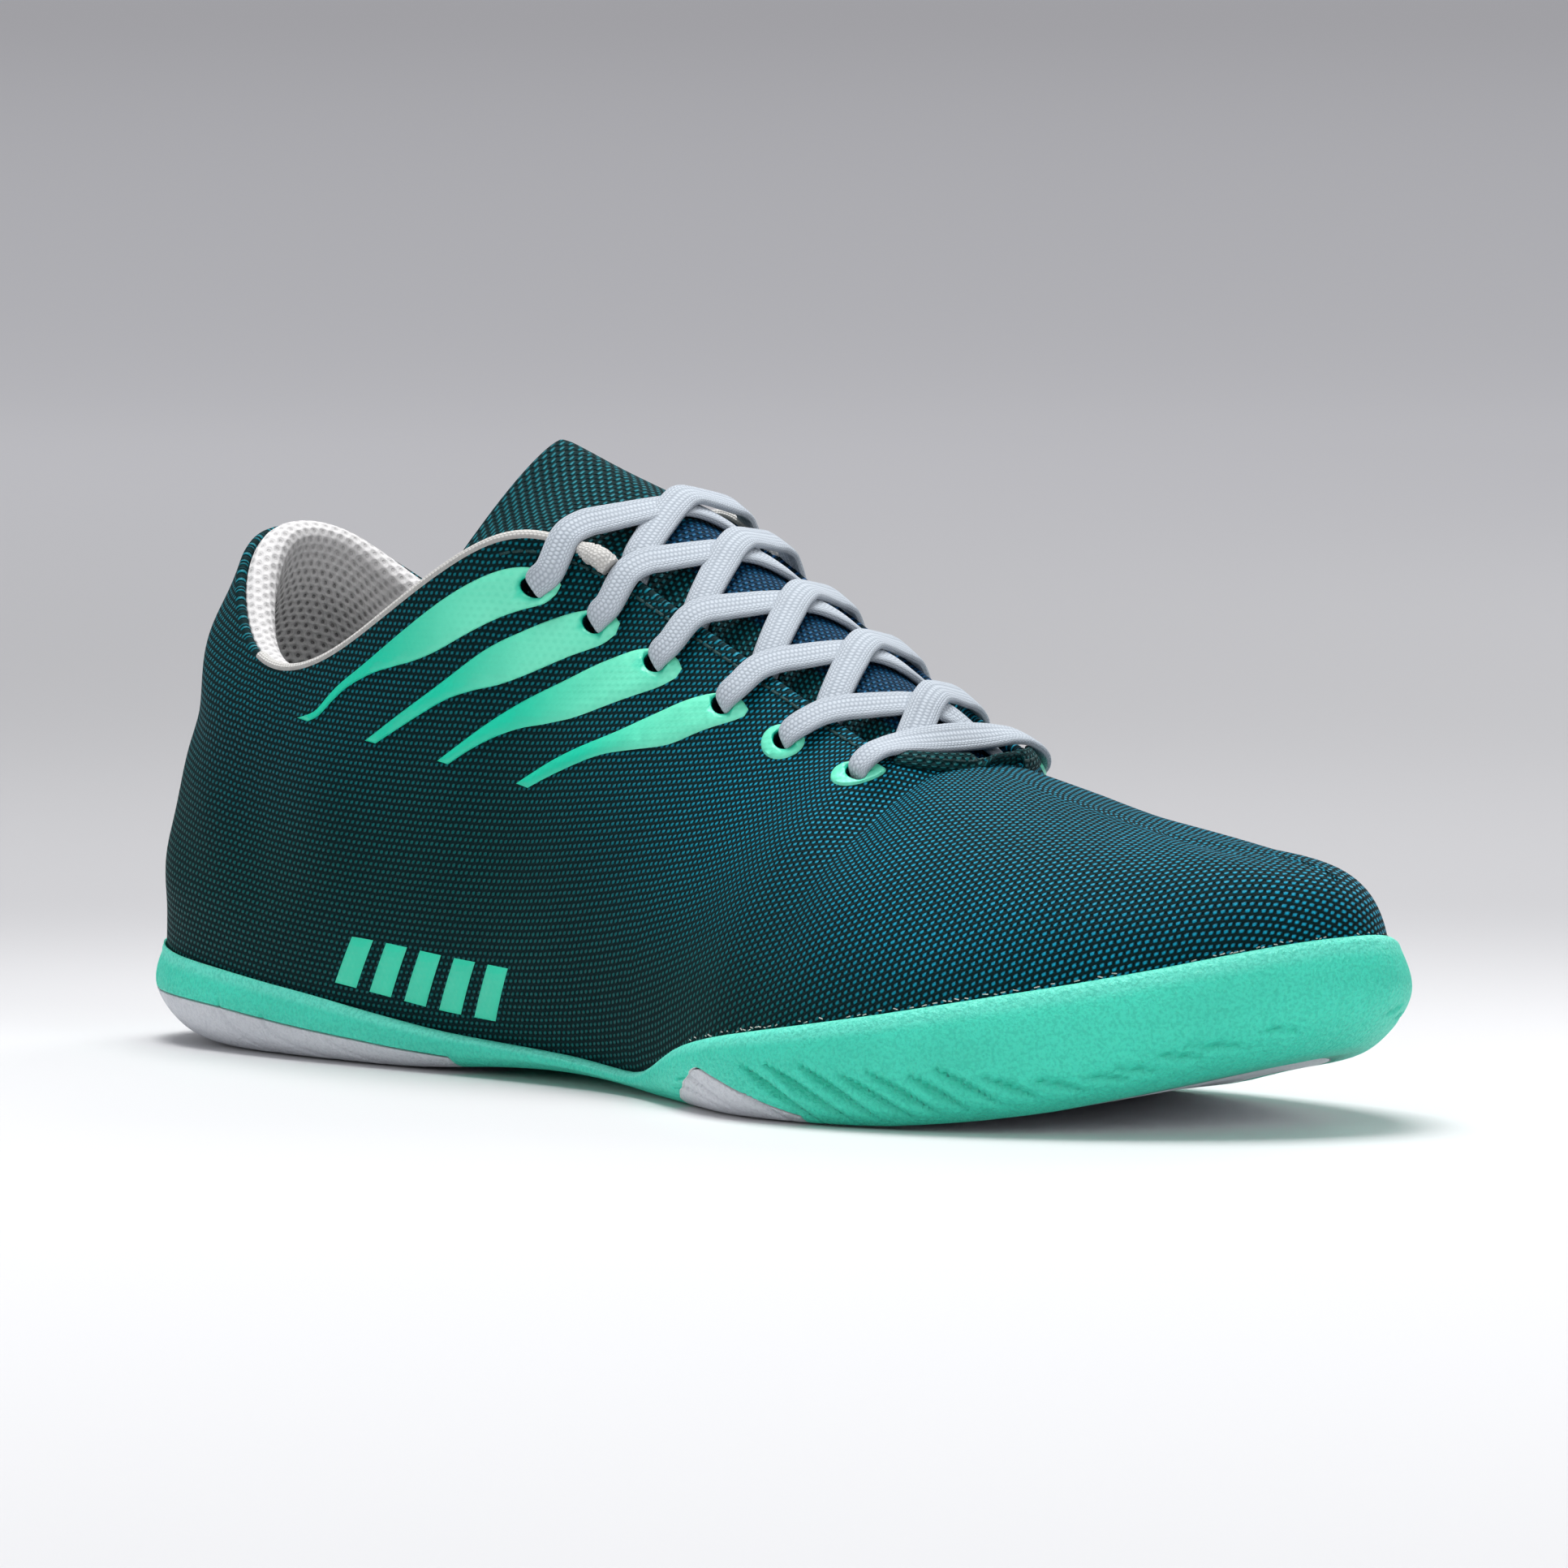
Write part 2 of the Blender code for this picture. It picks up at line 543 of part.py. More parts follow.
def tongue_section(g, depth, flank=.80, n=TONGUE_PTS):
    ts = np.linspace(flank, 1, 9)
    l = skin(np.full(9, g), ts, np.full(9, depth))
    m = skin(np.full(9, 2 * NR - g), ts, np.full(9, depth))
    if g <= THROAT:
        mid = (l[-1] + m[-1]) / 2
        l[-1] = m[-1] = mid
        arch = np.array([mid])
    else:
        a = np.linspace(0, 1, 13)[1:-1, None]
        chord = (1 - a) * l[-1] + a * m[-1]
        c = np.array([np.interp(g, [r[0] for r in CREST], [r[1] for r in CREST]) * KX, 0,
                      np.interp(g, [r[0] for r in CREST], [r[2] for r in CREST]) * KI])
        lift = c - (l[-1] + m[-1]) / 2
        lift[1] = 0
        arch = chord + (1 - np.abs(2 * a - 1)**np.interp(g, (11.5, 13.5), (2.0, 1.35))) * lift
    return along(np.r_[l, arch, m[::-1]], n)


bm = bmesh.new()
rows = [ring_verts(bm, tongue_section(g, WALL + .8 + 2.0 * math.exp(-((g - 7.4) / .9)**2))) for g in TONGUE_G]
grid_faces(bm, rows, False)
bmesh.ops.recalc_face_normals(bm, faces=bm.faces[:])
bm.faces.ensure_lookup_table()
face = max(bm.faces, key=lambda f: f.calc_center_median().z)
if face.normal.z < 0:
    bmesh.ops.reverse_faces(bm, faces=bm.faces)
tongue = add_object("tongue", bm, M_UPPER, closed=False)
s = tongue.modifiers.new("pad", "SOLIDIFY")
s.thickness, s.offset, s.use_even_offset, s.use_rim = TONGUE * .001, -1, False, True

# --------------------------------------------------------------------- lace


def crest_at(x):
    xs = [r[1] * KX for r in CREST][::-1]
    zs = [r[2] * KI for r in CREST][::-1]
    return float(np.interp(x, xs, zs))


def strand(name, pts, ups, mat=None, cutter=True, n=11, sides=6):
    """A flat oval strand along smooth points, its flat side facing up."""
    pts, ups = np.asarray(pts, float), np.asarray(ups, float)
    f = [spline(pts[:, i]) for i in range(3)]
    u = [spline(ups[:, i]) for i in range(3)]
    bm = bmesh.new()
    rings = []
    for q in np.linspace(0, len(pts) - 1, n):
        p = np.array([a(q) for a in f], float)
        d = np.array([a(q + .01) - a(q - .01) for a in f], float)
        d /= np.linalg.norm(d)
        w = np.cross(d, np.array([a(q) for a in u], float))
        w /= np.linalg.norm(w)
        v = np.cross(w, d)
        ang = np.arange(sides) * 2 * math.pi / sides
        rings.append(ring_verts(bm, p + np.outer(np.cos(ang) * LACE_W / 2, w)
                                + np.outer(np.sin(ang) * LACE_T / 2 / math.sin(math.pi / 3), v)))
    grid_faces(bm, rings, True)
    bm.faces.new(rings[0])
    bm.faces.new(rings[-1][::-1])
    return add_object(name, bm, mat, cutter)


def level_points(k, side):
    """Eyelet end over the wall, point over the edge, start inside the throat."""
    g, t = EYELETS[k]
    gg = g if side < 0 else 2 * NR - g
    e, n = frame_at(gg, t)
    lift = LACE_T / 2 + 0.5
    r, nr = frame_at(gg, 1.0)
    return e + n * lift, n, r + nr * (lift + 1.1), nr


def throat_start(k, side):
    """Where a strand comes up beside the tongue at a level."""
    g, _ = EYELETS[k]
    sec = tongue_section(g, WALL + .8, n=41)
    edge_y = abs(float(top(g if side < 0 else 2 * NR - g)[1]))
    want = (edge_y - 4.8) * side
    i = int(np.argmin(np.abs(sec[:, 1] - want)))
    p = sec[i]
    tan = sec[min(i + 1, 40)] - sec[max(i - 1, 0)]
    along_x = np.array([-1, 0, .45])
    n = np.cross(tan, along_x)
    n /= np.linalg.norm(n)
    n *= np.sign(n[2])
    return p + n * (LACE_T / 2 + 1.3), n


MID_Y = 6.0 * KY            # middle of the throat, which lies inwards
strands = []
e_l, n_l, r_l, q_l = level_points(0, -1)
e_m, n_m, r_m, q_m = level_points(0, 1)
up = np.array([0, 0, 1.0])
bar_mid = np.array([e_l[0] + 6.0, (e_l[1] + e_m[1]) / 2, crest_at(e_l[0] + 3) + 3.0])
strands.append(strand("strand_bar", [e_l, r_l + np.array([0.8, 0, -.3]), bar_mid, r_m + np.array([0.8, 0, -.3]), e_m],
                      [n_l, q_l, up + np.array([.35, 0, 0]), q_m, n_m]))
for k in range(5):
    for order, side in ((0, 1), (1, -1)):      # inner side's strand lies below
        s0, m0 = throat_start(k, side)
        e1, m1, r1, q1 = level_points(k + 1, -side)
        xm = (s0[0] + e1[0]) / 2 + 0.5
        mid = np.array([xm, MID_Y, crest_at(xm) + (2.0, 3.7)[order]])
        nm = np.array([.42, 0, 1.0])
        strands.append(strand("strand_%d%s" % (k + 1, "ml"[order]), [s0, mid, r1, e1], [m0, nm, q1, m1]))
bm = bmesh.new()
bm.from_mesh(strands[0].data)
lace = add_object("lace", bm, M_LACE)
for o in strands[1:]:
    boolean(lace, o, "UNION")
CUTTERS.objects.unlink(strands[0])
bpy.data.objects.remove(strands[0])
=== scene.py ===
import bpy
import bmesh
import math
import random
import numpy as np
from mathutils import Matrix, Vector
from mathutils.bvhtree import BVHTree
from mathutils.geometry import delaunay_2d_cdt


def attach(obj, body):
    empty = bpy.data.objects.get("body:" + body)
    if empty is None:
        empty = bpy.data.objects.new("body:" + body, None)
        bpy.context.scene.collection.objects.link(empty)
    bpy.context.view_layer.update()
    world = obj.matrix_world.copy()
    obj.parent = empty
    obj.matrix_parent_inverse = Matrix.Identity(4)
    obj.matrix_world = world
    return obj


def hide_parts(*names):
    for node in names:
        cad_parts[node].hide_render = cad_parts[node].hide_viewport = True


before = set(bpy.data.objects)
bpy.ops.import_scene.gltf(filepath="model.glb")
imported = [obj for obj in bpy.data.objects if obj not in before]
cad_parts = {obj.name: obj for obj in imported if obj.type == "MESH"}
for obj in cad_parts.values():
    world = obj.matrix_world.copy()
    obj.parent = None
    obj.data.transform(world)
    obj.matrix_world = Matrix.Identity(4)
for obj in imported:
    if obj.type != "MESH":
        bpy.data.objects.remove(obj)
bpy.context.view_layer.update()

# =====================================================================
# Shape tables and functions, in millimetres from the heel's back (x), to the
# inner side (y) and up (z).  to_m() puts a point into the row frame.
# =====================================================================
LENGTH, BALL_WIDTH, INSTEP_HEIGHT, HEEL_HEIGHT = 290.0, 100.0, 98.0, 93.5
ORIGIN_X, WALL, GAP, LIP, TONGUE = 45.0, 2.0, 0.3, 1.3, 3.4
LACE_W, LACE_T = 6.2, 1.6
PAD_FORE = 2.6
KX, KY, KI, KH = LENGTH / 290.0, BALL_WIDTH / 100.0, INSTEP_HEIGHT / 98.0, HEEL_HEIGHT / 93.5

COLS = ("sxl", "syl", "sxm", "sym", "txl", "tyl", "tzl", "txm", "tym", "tzm",
        "rise", "bulge", "reach", "drop", "puff")
ROWS = (
    (289.5, 14, 289.5, 14, 247, 7, 49.4, 247, 7, 49.4, 33, 4.4, .70, 0.3, 0),
    (286.0, 1.5, 288.2, 25, 244, 6.5, 50.1, 244, 6.5, 50.1, 33, 4.3, .70, 0.3, 0),
    (277.0, -12.5, 281.0, 35, 239, 6, 51.2, 239, 6, 51.2, 32, 4.0, .68, 0.3, 0),
    (264.5, -26, 268.5, 43, 232, 4.8, 53, 232, 4.8, 53, 31, 3.6, .66, 0.3, 0),
    (249.5, -36.8, 252, 48, 225, 3.3, 54.8, 225, 3.3, 54.8, 30, 3.0, .62, 0.3, 0),
    (233.5, -44.2, 234, 50.6, 217.5, 2.6, 56.9, 217.5, 2.6, 56.9, 30, 2.6, .58, 0.3, 0),
    (217.5, -48.2, 216, 51, 210.5, 3.0, 58.6, 210.5, 3.0, 58.6, 29, 2.6, .56, 0.6, 0),
    (202.5, -49.2, 199.5, 49.5, 206.5, 4.2, 59.6, 206.5, 4.2, 59.6, 28, 2.8, .50, 1.5, 0),
    (188.5, -47, 185, 46.5, 201.5, -9.8, 60.6, 201.5, 18.8, 59.6, 28, 4.0, .46, 4.0, 0),
    (174.0, -41, 170.5, 42.3, 190, -11.8, 63.6, 190, 22.2, 62.9, 28, 8.0, .42, 6.0, 0),
    (159.0, -35.3, 155.5, 37.3, 175, -12.2, 69.8, 175, 23.4, 69.2, 28, 11.0, .42, 7.5, 0),
    (143.0, -31.8, 140, 33, 158, -12.8, 77.2, 158, 24.2, 76.8, 28, 12.0, .42, 9.5, 0),
    (126.5, -30.6, 124, 30.2, 141, -13.6, 84.9, 141, 25.0, 84.7, 28, 12.0, .42, 12.0, 0),
    (110.5, -30.6, 108.5, 28.8, 126.5, -15.8, 92.0, 126.5, 25.2, 92.2, 28, 10.0, .38, 17.0, 0),
    (95.0, -31.5, 93.5, 29.2, 113, -22.0, 96.2, 113, 27.2, 98.0, 28, 8.0, .30, 22.0, 0),
    (80.0, -32.8, 79, 30.4, 99, -26.6, 91.5, 99, 28.2, 95.0, 28, 6.0, .28, 24.0, 0),
    (65.0, -33.8, 64.2, 31.8, 83, -28.8, 82.0, 83, 28.6, 87.0, 26, 5.0, .28, 22.0, 1.0),
    (50.0, -33.8, 49.5, 32.3, 67, -29.6, 73.2, 67, 29.2, 80.0, 24, 4.2, .28, 20.0, 1.8),
    (35.0, -32.8, 34.7, 31.4, 52, -29.1, 70.0, 52, 28.6, 77.0, 24, 3.2, .28, 20.0, 3.0),
    (20.4, -29.9, 20.6, 28.6, 38.3, -25.8, 74.6, 38.5, 25.4, 79.5, 28, 2.3, .30, 22.0, 4.4),
    (8.8, -23.0, 9.4, 22.3, 27.0, -18.6, 84.4, 27.0, 18.6, 87.0, 32, 2.1, .30, 23.0, 4.2),
    (2.2, -12.7, 2.6, 12.2, 20.4, -9.7, 91.4, 20.5, 9.8, 92.0, 32, 2.4, .32, 24.0, 2.2),
    (0.5, 0, 0.5, 0, 18.4, 0, 93.5, 18.4, 0, 93.5, 32, 2.6, .34, 24.0, 1.4),
)
NR = len(ROWS) - 1
THROAT = 7
SOLE_COLS = ("x", "seat", "lip", "ground")
SOLE = (
    (0, 12.0, 18.4, 6.0), (12, 11.8, 17.4, 2.8), (25, 11.4, 15.9, 0.7),
    (38, 10.9, 14.7, 0.0), (52, 10.0, 13.1, 0.0), (65, 9.0, 11.7, 0.0),
    (77, 8.0, 9.9, 0.0), (88, 6.7, 8.4, 0.0), (98, 5.7, 7.1, 0.6),
    (110, 4.9, 6.3, 1.5), (124, 4.4, 5.6, 2.0), (136, 3.9, 5.0, 1.8),
    (148, 3.0, 3.9, 1.1), (156, 2.7, 3.5, 0.5), (161, 2.9, 4.4, 0.2),
    (166, 3.4, 6.5, 0.1), (174, 4.2, 9.6, 0.0), (182, 4.7, 11.6, 0.0),
    (192, 5.1, 13.6, 0.0), (204, 5.5, 15.4, 0.0), (217, 6.2, 17.4, 0.0),
    (230, 7.6, 19.6, 0.2), (245, 9.9, 22.6, 1.8), (258, 12.6, 25.3, 4.2),
    (270, 15.4, 28.4, 7.2), (281, 18.4, 32.0, 10.6), (290, 21.0, 35.0, 13.8),
)
EYELETS = ((8.25, .86), (9.68, .845), (10.66, .835), (11.70, .835), (12.74, .845), (13.72, .879))


def spline(values, closed=False, d0=None, d1=None):
    """Smooth cubic through values at 0, 1, 2, ..."""
    y = np.asarray(values, float)
    n = len(y)
    a, b = np.zeros((n, n)), np.zeros(n)
    if closed:
        for i in range(n):
            a[i, i], a[i, (i - 1) % n], a[i, (i + 1) % n] = 4, 1, 1
            b[i] = 3 * (y[(i + 1) % n] - y[(i - 1) % n])
    else:
        for i in range(1, n - 1):
            a[i, i], a[i, i - 1], a[i, i + 1] = 4, 1, 1
            b[i] = 3 * (y[i + 1] - y[i - 1])
        for i, j, d, s in ((0, 1, d0, 1), (n - 1, n - 2, d1, -1)):
            if d is None:
                a[i, i], a[i, j], b[i] = 2, 1, 3 * s * (y[j] - y[i])
            else:
                a[i, i], b[i] = 1, d
    m = np.linalg.solve(a, b)

    def f(t):
        t = np.asarray(t, float)
        if closed:
            t = t % n
            i = np.floor(t).astype(int) % n
            j = (i + 1) % n
            u = t - np.floor(t)
        else:
            t = np.clip(t, 0, n - 1)
            i = np.minimum(np.floor(t).astype(int), n - 2)
            j, u = i + 1, t - i
        return ((2 * u**3 - 3 * u**2 + 1) * y[i] + (u**3 - 2 * u**2 + u) * m[i]
                + (3 * u**2 - 2 * u**3) * y[j] + (u**3 - u**2) * m[j])
    return f


COL = {c: np.array([r[i] for r in ROWS], float) for i, c in enumerate(COLS)}
for c in ("sxl", "sxm", "txl", "txm"):
    COL[c] *= KX
for c in ("syl", "sym", "tyl", "tym"):
    COL[c] *= KY
grade = KI + (KH - KI) * np.clip((np.arange(NR + 1) - 15) / 5.0, 0, 1)
for c in ("tzl", "tzm", "rise", "drop"):
    COL[c] *= grade


def loop(cl, cm):
    return np.r_[COL[cl], COL[cm][1:NR][::-1]]


def edge(cl, cm):
    return np.r_[COL[cl][THROAT:], COL[cm][THROAT:NR][::-1]]


SX, SY = spline(loop("sxl", "sxm"), True), spline(loop("syl", "sym"), True)
TX = spline(edge("txl", "txm"), d0=-0.3, d1=0.3)
TY = spline(edge("tyl", "tym"), d0=-14.0, d1=-14.0)
TZ = spline(edge("tzl", "tzm"), d0=0.1, d1=-0.1)
RX, RY, RZ = (spline(COL[c][:THROAT + 1], d0=0) for c in ("txl", "tyl", "tzl"))
WALLS = {c: spline(COL[c]) for c in ("rise", "bulge", "reach", "drop", "puff")}


def fold(g):
    g = np.asarray(g, float) % (2 * NR)
    return np.where(g > NR, 2 * NR - g, g)


def outline(g, inset=0.0):
    g = np.asarray(g, float)
    x, y, h = SX(g), SY(g), 1e-3
    dx, dy = SX(g + h) - SX(g - h), SY(g + h) - SY(g - h)
    n = np.hypot(dx, dy)
    ox, oy = -dy / n, dx / n
    return x - ox * inset, y - oy * inset, ox, oy


def level(name, x):
    xs = np.linspace(0, 290, 59)
    i = SOLE_COLS.index(name)
    z = np.interp(xs, [r[0] for r in SOLE], [r[i] for r in SOLE])
    z = np.convolve(np.pad(z, 1, "edge"), [.25, .5, .25], "valid")
    return np.interp(np.asarray(x) / KX, xs, z)


def ground_at(x, y):
    """Ground line; the inner side of the toe springs up a little more."""
    x, y = np.asarray(x, float) / KX, np.asarray(y, float) / KY
    u = np.clip((x - 205) / 45, 0, 1)
    return level("ground", x * KX) + 4.6 * u * u * (3 - 2 * u) * np.clip((y + 25) / 70, 0, 1)


def top(g):
    g = np.asarray(g, float)
    f = fold(g)
    r = np.stack([RX(f), RY(f), RZ(f)], -1)
    e = np.stack([TX(g - THROAT), TY(g - THROAT), TZ(g - THROAT)], -1)
    return np.where((f <= THROAT)[..., None], r, e)


def seat_in(g):
    return np.interp(fold(g), (0, 3, 6, 8, NR), (4.8, 4.0, 2.6, 2.0, 2.0))


def upper(g, t):
    g, t = np.broadcast_arrays(np.asarray(g, float), np.asarray(t, float))
    g = g % (2 * NR)
    f = fold(g)
    bx, by, ox, oy = outline(g, seat_in(g))
    B = np.stack([bx, by, level("seat", bx)], -1)
    T = top(g)
    out = np.stack([ox, oy, 0 * ox], -1)
    up = np.array([0, 0, 1.0])
    rise, bulge, reach, drop, puff = (WALLS[c](f)[..., None] for c in
                                      ("rise", "bulge", "reach", "drop", "puff"))
    lean = np.stack([(T[..., 0] - B[..., 0]) * 0.15 * np.clip((f - 5) / 3, 0, 1), 0 * bx, 0 * bx], -1)
    P1 = B + up * rise + out * bulge + lean
    P2 = T + (B - T) * np.array([1, 1, 0]) * reach - up * drop + out * puff
    r = np.clip(f, 0, THROAT)
    dx = RX(r + .01) - RX(r - .01)
    m = np.where(np.abs(dx) < 1e-6, -1, (RZ(r + .01) - RZ(r - .01)) / np.where(np.abs(dx) < 1e-6, 1, dx))
    m = np.where(r < .3, -.23, np.clip(m, -.30, 0))
    P2[..., 2] += np.clip((9 - f) / 2, 0, 1) * m * (P2[..., 0] - T[..., 0])
    t = t[..., None]
    return (1 - t)**3 * B + 3 * (1 - t)**2 * t * P1 + 3 * (1 - t) * t * t * P2 + t**3 * T


def face_dir(g, t):
    """Outward direction of the upper's face."""
    g, t = np.broadcast_arrays(np.asarray(g, float), np.asarray(t, float))
    h = 1e-3
    t0, t1 = np.clip(t - h, 0, 1), np.clip(t + h, 0, 1)
    n = np.cross(upper(g, t1) - upper(g, t0), upper(g + h, t) - upper(g - h, t))
    n /= np.maximum(np.linalg.norm(n, axis=-1, keepdims=True), 1e-12)
    _, _, ox, oy = outline(g)
    s = np.sign(n[..., 0] * ox + n[..., 1] * oy + 0.5 * n[..., 2])
    return n * s[..., None]


def skin(g, t, depth):
    return upper(g, t) - face_dir(g, t) * np.asarray(depth)[..., None]


def lip_t(g):
    g = np.asarray(g, float)
    lo, hi = np.zeros_like(g), np.full_like(g, 0.5)
    x, _, _, _ = outline(g, seat_in(g))
    want = level("lip", x)
    for _ in range(30):
        mid = (lo + hi) / 2
        low = upper(g, mid)[..., 2] < want
        lo, hi = np.where(low, mid, lo), np.where(low, hi, mid)
    return (lo + hi) / 2


def to_m(p):
    return (np.asarray(p, float) - np.array([ORIGIN_X, 0, 0])) * 0.001


def sstep(x, a, b):
    u = np.clip((np.asarray(x, float) - a) / (b - a), 0, 1)
    return u * u * (3 - 2 * u)


# ---------------------------------------------------------------- creases
# soft troughs and ridges of the worn-in cloth: ends in section and place on
# the wall, half width and depth in mm (a ridge is negative)
KG, KT = 14.5, 82.0
CREASES = (
    (18.3, .70, 17.2, .30, 9.0, 1.3), (17.0, .78, 16.0, .42, 8.0, -0.7),
    (19.6, .60, 18.6, .25, 10.0, 0.6), (8.0, .78, 6.3, .52, 6.0, 0.7),
    (7.6, .90, 5.6, .74, 6.0, -0.5), (10.2, .62, 9.0, .30, 9.0, 0.6),
    (5.4, .66, 4.6, .34, 6.0, 0.35), (6.8, .55, 6.2, .28, 6.0, -0.4),
    (13.4, .42, 12.2, .20, 10.0, 0.5), (3.0, .50, 2.2, .35, 6.0, 0.3),
    (25.7, .70, 26.8, .30, 9.0, 1.2), (27.2, .78, 28.2, .42, 8.0, -0.6),
    (36.2, .78, 37.8, .52, 6.0, 0.6), (36.6, .90, 38.4, .74, 6.0, -0.4),
    (34.0, .60, 35.2, .30, 9.0, 0.6), (39.0, .62, 39.8, .34, 6.0, 0.35),
    (31.0, .45, 32.0, .20, 10.0, 0.5), (20.9, .84, 23.1, .84, 7.0, 0.5),
)


def relief(g, t):
    g, t = np.broadcast_arrays(np.asarray(g, float), np.asarray(t, float))
    g = g % (2 * NR)
    out = np.zeros(g.shape)
    for g0, t0, g1, t1, w, d in CREASES:
        ax, ay, bx, by = g0 * KG, t0 * KT, g1 * KG, t1 * KT
        ux, uy = bx - ax, by - ay
        s = np.clip(((g * KG - ax) * ux + (t * KT - ay) * uy) / (ux * ux + uy * uy), 0, 1)
        q = (g * KG - ax - s * ux)**2 + (t * KT - ay - s * uy)**2
        out -= d * np.exp(-q / (w * w)) * (0.6 + 0.4 * np.sin(math.pi * s))
    # the eyestay lies a little proud of the wall below it
    f = fold(g)
    ridge = sstep(t, .70, .80) * sstep(f, 7.2, 8.2) * (1 - sstep(f, 14.0, 15.5))
    out += 0.35 * ridge
    fade = sstep(t, .16, .32) * (1 - 0.6 * sstep(t, .9, 1.0))
    # fuller above the heel's hollow and just over the lip
    heel = (1.6 * np.exp(-((t - .82) / .10)**2) - .5 * np.exp(-((t - .62) / .08)**2)
            + .9 * np.exp(-((t - .25) / .09)**2) * sstep(t, .08, .20))
    return out * fade + heel * sstep(f, 17.0, 20.5)


def surf(g, t, off=0.0):
    return upper(g, t) + face_dir(g, t) * (relief(g, t) + off)[..., None]


TL_G = np.arange(0, 2 * NR + .01, .1)
TL_T = lip_t(TL_G % (2 * NR))


def tl_at(g):
    return np.interp(np.asarray(g, float) % (2 * NR), TL_G, TL_T)


def t_of(s, g):
    """Row number 0..1 of the cloth grid to the place on the wall."""
    tl = tl_at(g)
    return np.where(s < .08, tl * s / .08, tl + (1 - tl) * (s - .08) / .92)


def s_of(t, g):
    tl = tl_at(g)
    return np.where(t < tl, .08 * t / tl, .08 + .92 * (t - tl) / (1 - tl))


# =====================================================================
# Node trees
# =====================================================================
class Mat:
    def __init__(self, name, rough=.5, spec=.5):
        self.m = bpy.data.materials.new(name)
        self.m.use_nodes = True
        self.t = self.m.node_tree
        self.b = self.t.nodes["Principled BSDF"]
        self.b.inputs["Roughness"].default_value = rough
        self.b.inputs["Specular IOR Level"].default_value = spec

    def add(self, kind, **props):
        n = self.t.nodes.new(kind)
        for k, v in props.items():
            setattr(n, k, v)
        return n

    def put(self, sock, v):
        if isinstance(v, bpy.types.NodeSocket):
            self.t.links.new(v, sock)
        elif isinstance(v, (tuple, list)) and len(v) == 3 and sock.type == "RGBA":
            sock.default_value = (*v, 1)
        else:
            sock.default_value = v

    def math(self, op, *a):
        n = self.add("ShaderNodeMath", operation=op)
        for i, v in enumerate(a):
            self.put(n.inputs[i], v)
        return n.outputs[0]

    def mix(self, f, a, b, blend="MIX"):
        n = self.add("ShaderNodeMix", data_type="RGBA", blend_type=blend)
        for i, v in ((0, f), (6, a), (7, b)):
            self.put(n.inputs[i], v)
        return n.outputs[2]

    def ramp(self, x, lo, hi, a=0.0, b=1.0):
        n = self.add("ShaderNodeMapRange", interpolation_type="SMOOTHSTEP")
        for i, v in enumerate((x, lo, hi, a, b)):
            self.put(n.inputs[i], v)
        return n.outputs[0]

    def uv(self, name="mm"):
        n = self.add("ShaderNodeUVMap", uv_map=name)
        s = self.add("ShaderNodeSeparateXYZ")
        self.put(s.inputs[0], n.outputs[0])
        return s.outputs[0], s.outputs[1], n.outputs[0]

    def obj(self):
        return self.add("ShaderNodeTexCoord").outputs["Object"]

    def attr(self, name):
        return self.add("ShaderNodeAttribute", attribute_name=name, attribute_type="GEOMETRY").outputs["Fac"]

    def noise(self, vec, scale, detail=2.0, rough=.5):
        n = self.add("ShaderNodeTexNoise")
        self.put(n.inputs["Vector"], vec)
        for k, v in (("Scale", scale), ("Detail", detail), ("Roughness", rough)):
            n.inputs[k].default_value = v
        return n.outputs["Fac"]

    def bump(self, h, strength=1.0, dist=.001, normal=None):
        n = self.add("ShaderNodeBump")
        self.put(n.inputs["Height"], h)
        n.inputs["Strength"].default_value = strength
        n.inputs["Distance"].default_value = dist
        if normal is not None:
            self.put(n.inputs["Normal"], normal)
        return n.outputs[0]

    def colour(self, c):
        self.put(self.b.inputs["Base Color"], c)

    def rough(self, r):
        self.put(self.b.inputs["Roughness"], r)

    def normal(self, n):
        self.put(self.b.inputs["Normal"], n)

    def set(self, **k):
        for a, v in k.items():
            self.b.inputs[a.replace("_", " ")].default_value = v


def cells(M, u, v, pu, pv, wob=None, amount=.0):
    """Place inside the offset cells of a weave: along and across, -0.5..0.5."""
    if wob is not None:
        u = M.math("ADD", u, M.math("MULTIPLY", M.math("SUBTRACT", wob, .5), amount))
        v = M.math("ADD", v, M.math("MULTIPLY", M.math("SUBTRACT", wob, .5), -amount * .7))
    r = M.math("DIVIDE", v, pv)
    row = M.math("FLOOR", r)
    fr = M.math("SUBTRACT", M.math("SUBTRACT", r, row), .5)
    off = M.math("MULTIPLY", M.math("FLOORED_MODULO", row, 2.0), .5)
    c = M.math("ADD", M.math("DIVIDE", u, pu), off)
    fc = M.math("SUBTRACT", M.math("FRACT", c), .5)
    return fc, fr, c


def spot(M, x, y, a, b, turn=0.0, lo=.5, hi=1.15):
    """Soft elliptic spot, 1 inside."""
    ca, sa = math.cos(turn), math.sin(turn)
    x1 = M.math("ADD", M.math("MULTIPLY", x, ca / a), M.math("MULTIPLY", y, sa / a))
    y1 = M.math("ADD", M.math("MULTIPLY", x, -sa / b), M.math("MULTIPLY", y, ca / b))
    d = M.math("SQRT", M.math("ADD", M.math("MULTIPLY", x1, x1), M.math("MULTIPLY", y1, y1)))
    return M.ramp(d, lo, hi, 1.0, 0.0)


